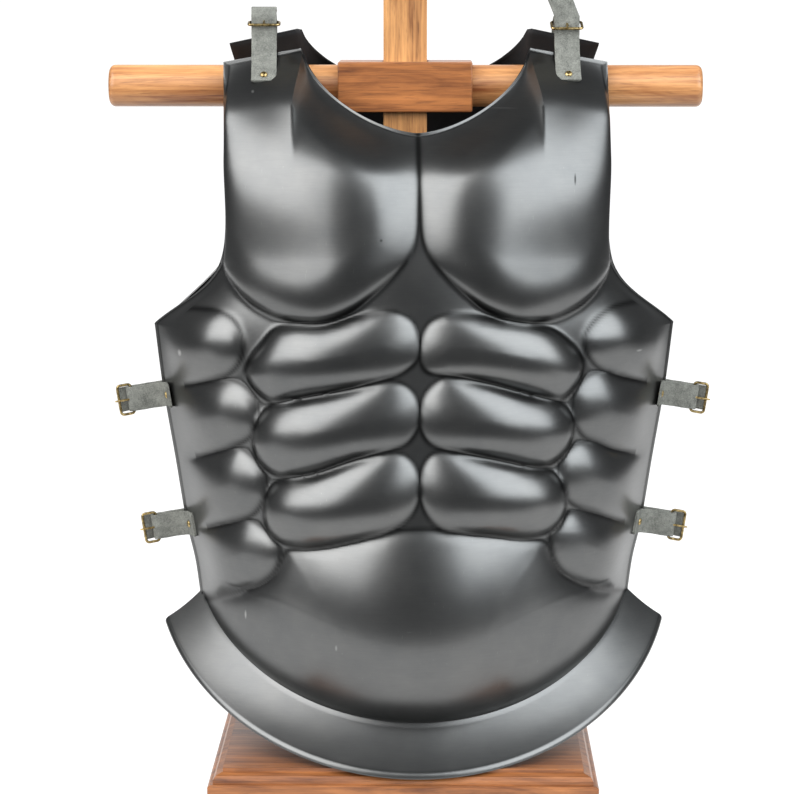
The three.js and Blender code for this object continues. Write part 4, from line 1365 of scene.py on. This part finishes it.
    def prong(self, strap: StrapSet) -> None:
        """Makes the buckle's tongue, hooked round the near bar.

        Args:
            strap: The strap set.
        """
        near, far = np.array(strap.near), np.array(strap.far)
        along = far - near
        reach = np.linalg.norm(along) + self.wire + self.tongue_reach
        along = along / np.linalg.norm(along)
        side = np.array([-along[1], along[0]]) * strap.over
        clear = self.wire + self.fit + self.tongue
        angles = np.linspace(-0.5 * np.pi, -1.5 * np.pi, 13)
        hook = np.stack([clear * np.cos(angles), clear * np.sin(angles)], axis=-1)
        straight = np.stack([np.linspace(0, reach, 12)[1:], np.full(11, clear)], axis=-1)
        straight[-len(self.point_bend):, 1] -= self.point_bend
        path = np.concatenate([hook, straight])
        line = near + path[:, :1] * along + path[:, 1:] * side
        turn = np.linspace(0.0, 2 * np.pi, 11)[:-1]
        radius = np.full(len(line), self.tongue)
        radius[-len(self.point_taper):] *= self.point_taper
        points = strap.carried(line, radius[:, None] * np.cos(turn), radius[:, None] * np.sin(turn))
        self.add(self.closed_tube(points), f"{strap.name}_buckle_tongue", self.brass, "brass",
                 f"{strap.name}_tongue", 60.0)

    def rivet(self, strap: StrapSet, which: str) -> None:
        """Makes a rivet: a domed head, a shank and a tail inside the plate.

        Args:
            strap: The strap set.
            which: front or back.
        """
        head, normal, grip = getattr(strap, f"{which}_rivet")
        profile = np.concatenate([np.array(self.tail) - np.array([0.0, grip]), self.head])
        turn = np.linspace(0.0, 2 * np.pi, 25)[:-1]
        axis = np.array(normal)
        across = unit(np.cross(axis, [0.0, 0.0, 1.0]))
        ring = np.cos(turn)[:, None] * across + np.sin(turn)[:, None] * np.cross(axis, across)
        top = np.array(head) - self.sink(strap, which) * axis
        parts = MeshParts()
        points = top + profile[:, None, 1:] * axis + profile[:, None, :1] * ring
        parts.add_grid(points * MM, wrap_columns=True)
        name = f"{strap.name}_{which}_rivet"
        self.add(parts, name + "_head", self.brass, "brass", name, 40.0)

    def build(self, strap: StrapSet) -> None:
        """Makes every piece of a strap set.

        Args:
            strap: The strap set.
        """
        for which in ("front", "back"):
            self.strap(strap, which)
            self.rivet(strap, which)
        self.buckle(strap)
        self.prong(strap)


# Parts of the straps' lines that are alike on every strap of a kind, in each strap's own plane
SHOULDER_LOOP = ((43.63, 5.04), (51.59, -5.98), (54.54, -11.48), (54.24, -15.44), (52.64, -18.21),
                 (49.44, -18.21), (47.84, -15.44), (47.84, -10.49))
SIDE_LOOP = ((11.6, 8.6), (21.75, 8), (29, 8), (31.77, 9.6), (31.77, 12.8), (29, 14.4), (23.2, 14.7),
             (17.4, 14.08))
SIDE_END = ((13.05, 18), (29, 16.9), (41.26, 13.44))


def shoulder_strap(side: Side, far: tuple, front: tuple, back: tuple, rivets: tuple,
                   **free: object) -> StrapSet:
    """Makes the set of a shoulder strap.

    Args:
        side: The wearer's side.
        far: The buckle's far bar.
        front: Line of the front leather.
        back: Line of the back leather, up to its loop.
        rivets: Place, direction and grip of the front rivet and of the back rivet.
        **free: How the free end stands.

    Returns:
        The strap set.
    """
    return StrapSet(
        f"{side.name.lower()}_shoulder", (120 * side.value, 0, 557), (0, 0, 1), (0, 1, 0), (-1, 0, 0), front,
        back + SHOULDER_LOOP, (51.04, -15.44), far, *rivets, over=1, **free)


def side_strap(side: Side, level: str, origin: tuple, front: tuple, back: tuple, rivets: tuple) -> StrapSet:
    """Makes the set of a side strap.

    Args:
        side: The wearer's side.
        level: upper or lower.
        origin: Origin of the strap's plane.
        front: Line of the front leather, up to its loop.
        back: Line of the back leather on its plate.
        rivets: Place, direction and grip of the front rivet and of the back rivet.

    Returns:
        The strap set.
    """
    outwards = side.value
    return StrapSet(
        f"{side.name.lower()}_{level}", origin, (0.988 * outwards, 0, -0.155), (0, 1, 0),
        (0.155, 0, 0.988 * outwards), front + SIDE_LOOP, back + SIDE_END, (29, 11.2), (39.86, 9.48), *rivets,
        over=-1)


STRAPS = (
    shoulder_strap(
        Side.RIGHT, (49.06, -27.95),
        ((7.85, -50.67), (12.19, -46.11), (18.4, -39.59), (38.5, -24.35), (49.5, -24.24), (55.5, -23.8),
         (61.05, -20.94), (62.04, -14.45), (58.96, -5.43)),
        ((17.73, 18.67), (23.11, 15.39), (28.49, 12.11)),
        (((-120, -47.073, 570.204), (0, -0.69, 0.724), 8.58),
         ((-120, 16.588, 580.837), (0, 0.854, 0.521), 5.09))),
    side_strap(
        Side.RIGHT, "upper", (-201.064, -9, 308.175),
        ((0.28, -9.15), (1.64, -0.25), (2.39, 4.64)), ((-10.3, 31.19), (-6.59, 22.99), (-4.74, 18.89)),
        (((-204.055, -9.464, 307.707), (-0.977, -0.151, -0.153), 5.23),
         ((-195.6, 14.564, 307.641), (-0.9, 0.412, -0.141), 5.36))),
    side_strap(
        Side.RIGHT, "lower", (-182.018, -9, 202.125),
        ((1.06, -10.02), (4.24, -1.6), (5.99, 3.03)), ((-10.94, 30.49), (-6.18, 22.85), (-3.8, 19.03)),
        (((-187.502, -11.1, 201.267), (-0.924, -0.354, -0.145), 7.43),
         ((-176.902, 14.586, 201.731), (-0.839, 0.529, -0.131), 4.53))),
    shoulder_strap(
        Side.LEFT, (46.09, -27.95),
        ((8.17, -49.93), (12.42, -45.29), (18.5, -38.65), (38.5, -24.35), (49.5, -24.24), (55.5, -23.8),
         (71.5, -22.48), (93.5, -20.5)),
        ((17.62, 18.65), (23.03, 15.41), (28.43, 12.18)),
        (((120, -46.234, 570.456), (0, -0.675, 0.737), 8.73),
         ((120, 16.614, 580.748), (0, 0.858, 0.514), 5.03)),
        lean=0.4, lean_above=55.5, free_end=True),
    side_strap(
        Side.LEFT, "upper", (199.152, -9, 308.175),
        ((2.29, -9.38), (3.46, -0.45), (4.1, 4.46)), ((-8.15, 30.86), (-4.43, 22.67), (-2.57, 18.57)),
        (((203.94, -9.634, 307.426), (0.98, -0.13, -0.153), 7.17),
         ((195.892, 14.244, 307.751), (0.9, 0.413, -0.141), 4.56))),
    side_strap(
        Side.LEFT, "lower", (182.223, -9, 202.125),
        ((0.85, -10), (4.14, -1.63), (5.95, 2.98)), ((-11.15, 30.52), (-6.42, 22.86), (-4.06, 19.03)),
        (((187.602, -11.142, 201.284), (0.919, -0.366, -0.144), 7.66),
         ((176.868, 14.593, 201.726), (0.841, 0.525, -0.132), 4.58))),
)


def shader_group(name: str, inputs: Sequence[tuple[str, str, object]], outputs: Sequence[tuple[str, str]],
                 fill: Callable[[Nodes, dict], dict]) -> bpy.types.NodeTree:
    """Makes a shader group that several materials share.

    Args:
        name: Name of the group.
        inputs: Name, socket type and default of each input.
        outputs: Name and socket type of each output.
        fill: Adds the nodes from the inputs' sockets and returns the outputs' sockets by name.

    Returns:
        The group.
    """
    tree = bpy.data.node_groups.new(name, "ShaderNodeTree")
    for label, kind, default in inputs:
        socket = tree.interface.new_socket(label, in_out="INPUT", socket_type=kind)
        if default is not None:
            socket.default_value = default
    for label, kind in outputs:
        tree.interface.new_socket(label, in_out="OUTPUT", socket_type=kind)
    nodes = Nodes(tree)
    entry = tree.nodes.new("NodeGroupInput")
    result = fill(nodes, {socket.name: socket for socket in entry.outputs if socket.name})
    leave = tree.nodes.new("NodeGroupOutput")
    for label, socket in result.items():
        tree.links.new(socket, leave.inputs[label])
    return tree


class SharedGroups:
    """Shader groups for wood grain and round flecks."""

    def __init__(self) -> None:
        """Makes the groups."""
        vector, number, colour = "NodeSocketVector", "NodeSocketFloat", "NodeSocketColor"
        self.wood = shader_group(
            "wood_grain",
            [("Vector", vector, None), ("Light", colour, (0.6, 0.32, 0.14, 1)),
             ("Dark", colour, (0.12, 0.04, 0.015, 1))],
            [("Color", colour), ("Height", number)],
            self.fill_wood)
        self.fleck = shader_group(
            "fleck", [("Vector", vector, None), ("Centre", vector, (0, 0, 0)), ("Radius", number, 0.001)],
            [("Fac", number)], self.fill_fleck)

    @staticmethod
    def fill_wood(nodes: Nodes, given: dict) -> dict:
        """Grain that runs along X: broad bands, fine fibres and short pores.

        Args:
            nodes: Builder for the group's nodes.
            given: The group's inputs by name.

        Returns:
            The group's outputs by name.
        """
        place = given["Vector"]
        bands = nodes.noise(nodes.scaled(place, (5, 55, 55)), 1.0, 4.0, 0.6, 0.6)
        rings = nodes.noise(nodes.scaled(place, (3, 22, 22)), 2.0, 5.0, 0.65, 1.4)
        fibres = nodes.noise(nodes.scaled(place, (14, 420, 420)), 1.0, 3.0, 0.7)
        pores = nodes.noise(nodes.scaled(place, (60, 900, 900)), 1.0, 2.0, 0.6)
        mixed = nodes.math("ADD", nodes.math("MULTIPLY", bands, 0.5), nodes.math("MULTIPLY", rings, 0.5))
        tone = nodes.math("ADD", nodes.math("MULTIPLY", mixed, 0.72), nodes.math("MULTIPLY", fibres, 0.28))
        shade = nodes.ramp(tone, ((0.38, 0.0), (0.60, 1.0)))
        pore = nodes.ramp(pores, ((0.30, 0.0), (0.42, 1.0)))
        colour = nodes.mix(shade, given["Dark"], given["Light"])
        colour = nodes.mix(nodes.math("MULTIPLY_ADD", pore, 0.35, 0.65), (0.05, 0.02, 0.01, 1), colour)
        height = nodes.math("ADD", nodes.math("MULTIPLY", fibres, 0.6), nodes.math("MULTIPLY", pore, 0.4))
        return {"Color": colour, "Height": height}

    @staticmethod
    def fill_fleck(nodes: Nodes, given: dict) -> dict:
        """One where a place is nearer to the centre than the radius, with a soft edge.

        Args:
            nodes: Builder for the group's nodes.
            given: The group's inputs by name.

        Returns:
            The group's outputs by name.
        """
        apart = nodes.add("ShaderNodeVectorMath", {"operation": "DISTANCE"},
                          i0=given["Vector"], i1=given["Centre"])
        share = nodes.math("DIVIDE", apart.outputs["Value"], given["Radius"])
        soft_end = 1.6
        return {"Fac": nodes.math("SUBTRACT", soft_end, share, clamp=True)}


@dataclass(frozen=True)
class Mark:
    """A fleck or a scratch on the breastplate, in metres; it is stretched by its two sizes."""

    x: float
    z: float
    half_width: float
    half_height: float
    strength: float = 0.8
    colour: tuple[float, float, float, float] = (0.75, 0.75, 0.73, 1.0)

    @property
    def radius(self) -> float:
        """The smaller of the two sizes."""
        return min(self.half_width, self.half_height)

    @property
    def scale(self) -> tuple[float, float, float]:
        """Scale that makes the mark round, and flat from front to back."""
        return self.radius / self.half_width, 0.02, self.radius / self.half_height

    @property
    def centre(self) -> tuple[float, float, float]:
        """Middle of the mark after scaling, on the front plate."""
        across, deep, tall = self.scale
        return self.x * across, FRONT_Y * deep, self.z * tall


# Y of the front plate's middle, which the marks lie near
FRONT_Y = -0.1
DARK_MARK = (0.012, 0.012, 0.012, 1.0)
MARKS = (
    Mark(-0.1188, 0.555, 0.0010, 0.0010, 0.9),
    Mark(0.132, 0.4896, 0.0006, 0.0034, 0.8, DARK_MARK),
    Mark(0.0758, 0.5426, 0.0110, 0.0006, 0.35),
    Mark(-0.0169, 0.445, 0.0010, 0.0010, 0.8, DARK_MARK),
    Mark(-0.179, 0.348, 0.0014, 0.0022, 0.55),
    Mark(0.186, 0.3515, 0.0022, 0.0009, 0.4),
    Mark(0.0048, 0.144, 0.0026, 0.0008, 0.3),
    Mark(-0.052, 0.128, 0.0009, 0.0022, 0.3),
    Mark(0.034, 0.118, 0.0007, 0.0007, 0.5),
    Mark(-0.126, 0.142, 0.0007, 0.0028, 0.35),
)


class Finishes:
    """Every material of the object."""

    def __init__(self) -> None:
        """Makes the materials."""
        self.groups = SharedGroups()
        self.steel = self.make_steel()
        self.lining = self.make_lining()
        self.leather = self.make_leather()
        self.brass = self.make_brass()
        level, upright, dark = (0, 0, 0), (0, math.pi / 2, 0), (0.09, 0.025, 0.008, 1)
        self.bar_wood = self.make_wood("bar_wood", (0.66, 0.33, 0.13, 1), (0.20, 0.06, 0.018, 1), level)
        self.block_wood = self.make_wood("block_wood", (0.42, 0.155, 0.045, 1), dark, level)
        self.post_wood = self.make_wood("post_wood", (0.60, 0.30, 0.11, 1), (0.12, 0.035, 0.012, 1), upright)
        self.base_wood = self.make_wood("base_wood", (0.42, 0.16, 0.05, 1), dark, level)

    def make_steel(self) -> Finish:
        """Blackened satin steel with faint working marks, a few flecks and scratches, and painted shade that
        darkens its creases and the bands beside its rolled edges.
        """
        finish = Finish("blackened_steel")
        nodes, place = finish.nodes, finish.place
        broad = nodes.noise(place, 9.0, 3.0, 0.55)
        cloud = nodes.noise(place, 45.0, 4.0, 0.6)
        streak = nodes.noise(nodes.scaled(place, (70, 70, 1400)), 1.0, 2.0, 0.6)
        both = nodes.math("ADD", nodes.math("MULTIPLY", broad, 0.5), nodes.math("MULTIPLY", cloud, 0.5))
        tone = nodes.ramp(both, ((0.35, 0.0), (0.65, 1.0)))
        base = nodes.mix(tone, (0.152, 0.155, 0.155, 1), (0.182, 0.183, 0.180, 1))
        scuffs = nodes.ramp(nodes.noise(nodes.scaled(place, (900, 900, 120), (0.3, 0.5, 0.2)), 1.0, 1.0, 0.5),
                            ((0.74, 0.0), (0.80, 1.0)))
        scuffed, streaked, shade_strength = 0.12, 0.22, 0.85
        base = nodes.mix(nodes.math("MULTIPLY", scuffs, scuffed), base, (0.5, 0.5, 0.48, 1))
        base = nodes.mix(nodes.math("MULTIPLY", streak, streaked), base, (0.06, 0.062, 0.062, 1))
        for mark in MARKS:
            spot = nodes.add("ShaderNodeGroup", {"node_tree": self.groups.fleck},
                             Vector=nodes.scaled(place, mark.scale), Centre=mark.centre, Radius=mark.radius)
            amount = nodes.math("MULTIPLY", spot.outputs[0], mark.strength)
            base = nodes.mix(amount, base, mark.colour)
        # Painted shade: the colour is darkened towards near black in creases and beside rolled edges.
        painted_shade = nodes.add("ShaderNodeAttribute", {"attribute_name": "painted_shade"}).outputs["Fac"]
        base = nodes.mix(nodes.math("MULTIPLY", painted_shade, shade_strength), base, (0.018, 0.018, 0.018, 1))
        finish.set(Base_Color=base, Metallic=1.0)
        rough = nodes.math("MULTIPLY_ADD", cloud, 0.03, 0.285)
        finish.set(Roughness=nodes.math("MULTIPLY_ADD", streak, 0.03, rough))
        finish.set(Normal=finish.bump(broad, 0.1, 0.001))
        return finish

    def make_lining(self) -> Finish:
        """Black unpolished steel of the plates' insides."""
        finish = Finish("black_lining")
        cloud = finish.nodes.noise(finish.place, 60.0, 4.0, 0.6)
        finish.set(Base_Color=finish.nodes.mix(cloud, (0.006, 0.006, 0.007, 1), (0.02, 0.02, 0.021, 1)))
        finish.set(Metallic=0.2, Roughness=0.7, Normal=finish.bump(cloud, 0.3, 0.0006))
        return finish

    def make_leather(self) -> Finish:
        """Grey rough leather with a worn nap."""
        finish = Finish("grey_leather")
        nodes, place = finish.nodes, finish.place
        nap = nodes.noise(place, 900.0, 5.0, 0.7)
        mottle = nodes.noise(place, 160.0, 4.0, 0.65)
        both = nodes.math("ADD", nodes.math("MULTIPLY", nap, 0.55), nodes.math("MULTIPLY", mottle, 0.45))
        tone = nodes.ramp(both, ((0.34, 0.0), (0.66, 1.0)))
        finish.set(Base_Color=nodes.mix(tone, (0.075, 0.078, 0.070, 1), (0.235, 0.24, 0.215, 1)))
        finish.set(Roughness=0.88)
        finish.set(Normal=finish.bump(nodes.math("ADD", nap, mottle), 0.7, 0.0006))
        return finish

    def make_brass(self) -> Finish:
        """Tarnished brass."""
        finish = Finish("tarnished_brass")
        nodes, place = finish.nodes, finish.place
        cloud = nodes.noise(place, 420.0, 4.0, 0.6)
        tone = nodes.ramp(cloud, ((0.38, 0.0), (0.62, 1.0)))
        finish.set(Base_Color=nodes.mix(tone, (0.20, 0.14, 0.055, 1), (0.62, 0.47, 0.22, 1)), Metallic=1.0)
        finish.set(Roughness=nodes.math("MULTIPLY_ADD", cloud, 0.3, 0.2))
        finish.set(Normal=finish.bump(cloud, 0.3, 0.0003))
        return finish

    def make_wood(self, name: str, light: tuple, dark: tuple, turn: tuple) -> Finish:
        """Varnished pine stained brown.

        Args:
            name: Name of the material.
            light: Colour between the grain's dark bands.
            dark: Colour of the dark bands.
            turn: Rotation that lays the grain's X along the piece.

        Returns:
            The finish.
        """
        finish = Finish(name)
        nodes = finish.nodes
        grain = nodes.add("ShaderNodeGroup", {"node_tree": self.groups.wood},
                          Vector=nodes.scaled(finish.place, (1, 1, 1), turn), Light=light, Dark=dark)
        finish.set(Base_Color=grain.outputs["Color"], Roughness=0.38)
        finish.set(Normal=finish.bump(grain.outputs["Height"], 0.25, 0.0004))
        finish.set(Coat_Weight=0.25, Coat_Roughness=0.2)
        return finish


@dataclass(frozen=True)
class Stand:
    """Wooden T stand: a moulded square base, a post and a round bar with a square block."""

    finishes: Finishes
    bar_z: float = 557.0
    half_bar: float = 237.5
    bar_radius: float = 16.75
    end_radius: float = 5.0
    block: tuple[float, float, float] = (107.0, 54.0, 39.5)
    half_hole: float = 17.55

    def ease_edges(self, piece: bpy.types.Object, width: float) -> None:
        """Adds a small rounding to a piece's edges.

        Args:
            piece: The piece.
            width: The rounding's width in metres.
        """
        bevel = piece.modifiers.new("edges", "BEVEL")
        bevel.width = width
        bevel.segments = 3
        bevel.limit_method = "ANGLE"
        bevel.angle_limit = math.radians(30)
        bevel.harden_normals = False

    def arms(self) -> None:
        """Makes the round bar, in one length."""
        t = np.linspace(0.0, np.pi / 2, 9)
        inner, straight = self.bar_radius - self.end_radius, self.half_bar - self.end_radius
        end = np.stack([inner + self.end_radius * np.sin(t), straight + self.end_radius * np.cos(t)], axis=-1)
        middle = np.stack([np.full(41, self.bar_radius), np.linspace(1, -1, 41) * (straight - 1)], axis=-1)
        face = np.array([[0.02, self.half_bar], [inner * 0.5, self.half_bar]])
        cap = np.concatenate([face, end])
        profile = np.concatenate([cap, middle, cap[::-1] * np.array([1.0, -1.0])])
        turn = np.linspace(0.0, 2 * np.pi, 65)[:-1]
        radius = profile[:, :1]
        points = np.stack(np.broadcast_arrays(
            profile[:, 1:], radius * np.cos(turn), self.bar_z + radius * np.sin(turn)), axis=-1) * MM
        parts = MeshParts()
        parts.add_grid(points, wrap_columns=True, flip=True)
        piece = parts.build("crossbar_arms", 40.0)
        finish_piece(piece, self.finishes.bar_wood, "wood", "stand_crossbar")

    def middle_block(self) -> None:
        """Makes the square block at the bar's middle, round the post."""
        half_x, half_y, half_z = np.array(self.block) / 2
        corners = np.array([(-1, -1), (1, -1), (1, 1), (-1, 1)])
        hole = (self.half_hole, self.half_hole)
        outline = ((*hole, -1), (half_x, half_y, -1), (half_x, half_y, 1), (*hole, 1), (*hole, -1))
        rings = [np.concatenate([corners * np.array([x, y]), np.full((4, 1), self.bar_z + side * half_z)],
                                axis=-1) for x, y, side in outline]
        parts = MeshParts()
        parts.add_grid(np.array(rings) * MM, wrap_columns=True)
        piece = parts.build("crossbar_block", 30.0)
        self.ease_edges(piece, 1.2 * MM)
        finish_piece(piece, self.finishes.block_wood, "wood", "stand_crossbar")

    def build(self) -> None:
        """Dresses the post and the base, and makes the bar."""
        for name, finish, width in (("stand_post", self.finishes.post_wood, 1.2),
                                    ("stand_base", self.finishes.base_wood, 0.6)):
            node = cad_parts[name]
            node.data.materials.clear()
            node.data.materials.append(finish.material)
            self.ease_edges(node, width * MM)
        self.arms()
        self.middle_block()


def main() -> None:
    """Builds the pieces and the studio."""
    logging.basicConfig(level=logging.INFO, format="%(message)s")
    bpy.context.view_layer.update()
    Studio().build()
    finishes = Finishes()
    hang = Hang()
    faces = {"front": Breastplate().face(), "back": Backplate().face()}
    make_plate("breastplate", *faces["front"], -1, finishes.steel, finishes.lining, hang)
    make_plate("backplate", *faces["back"], 1, finishes.steel, finishes.lining, hang)
    outer = {which: grid for which, (grid, _) in faces.items()}
    work = StrapWork(finishes.leather, finishes.brass, hang, outer)
    for strap in STRAPS:
        work.build(strap)
    Stand(finishes).build()


if __name__ == "__main__":
    main()
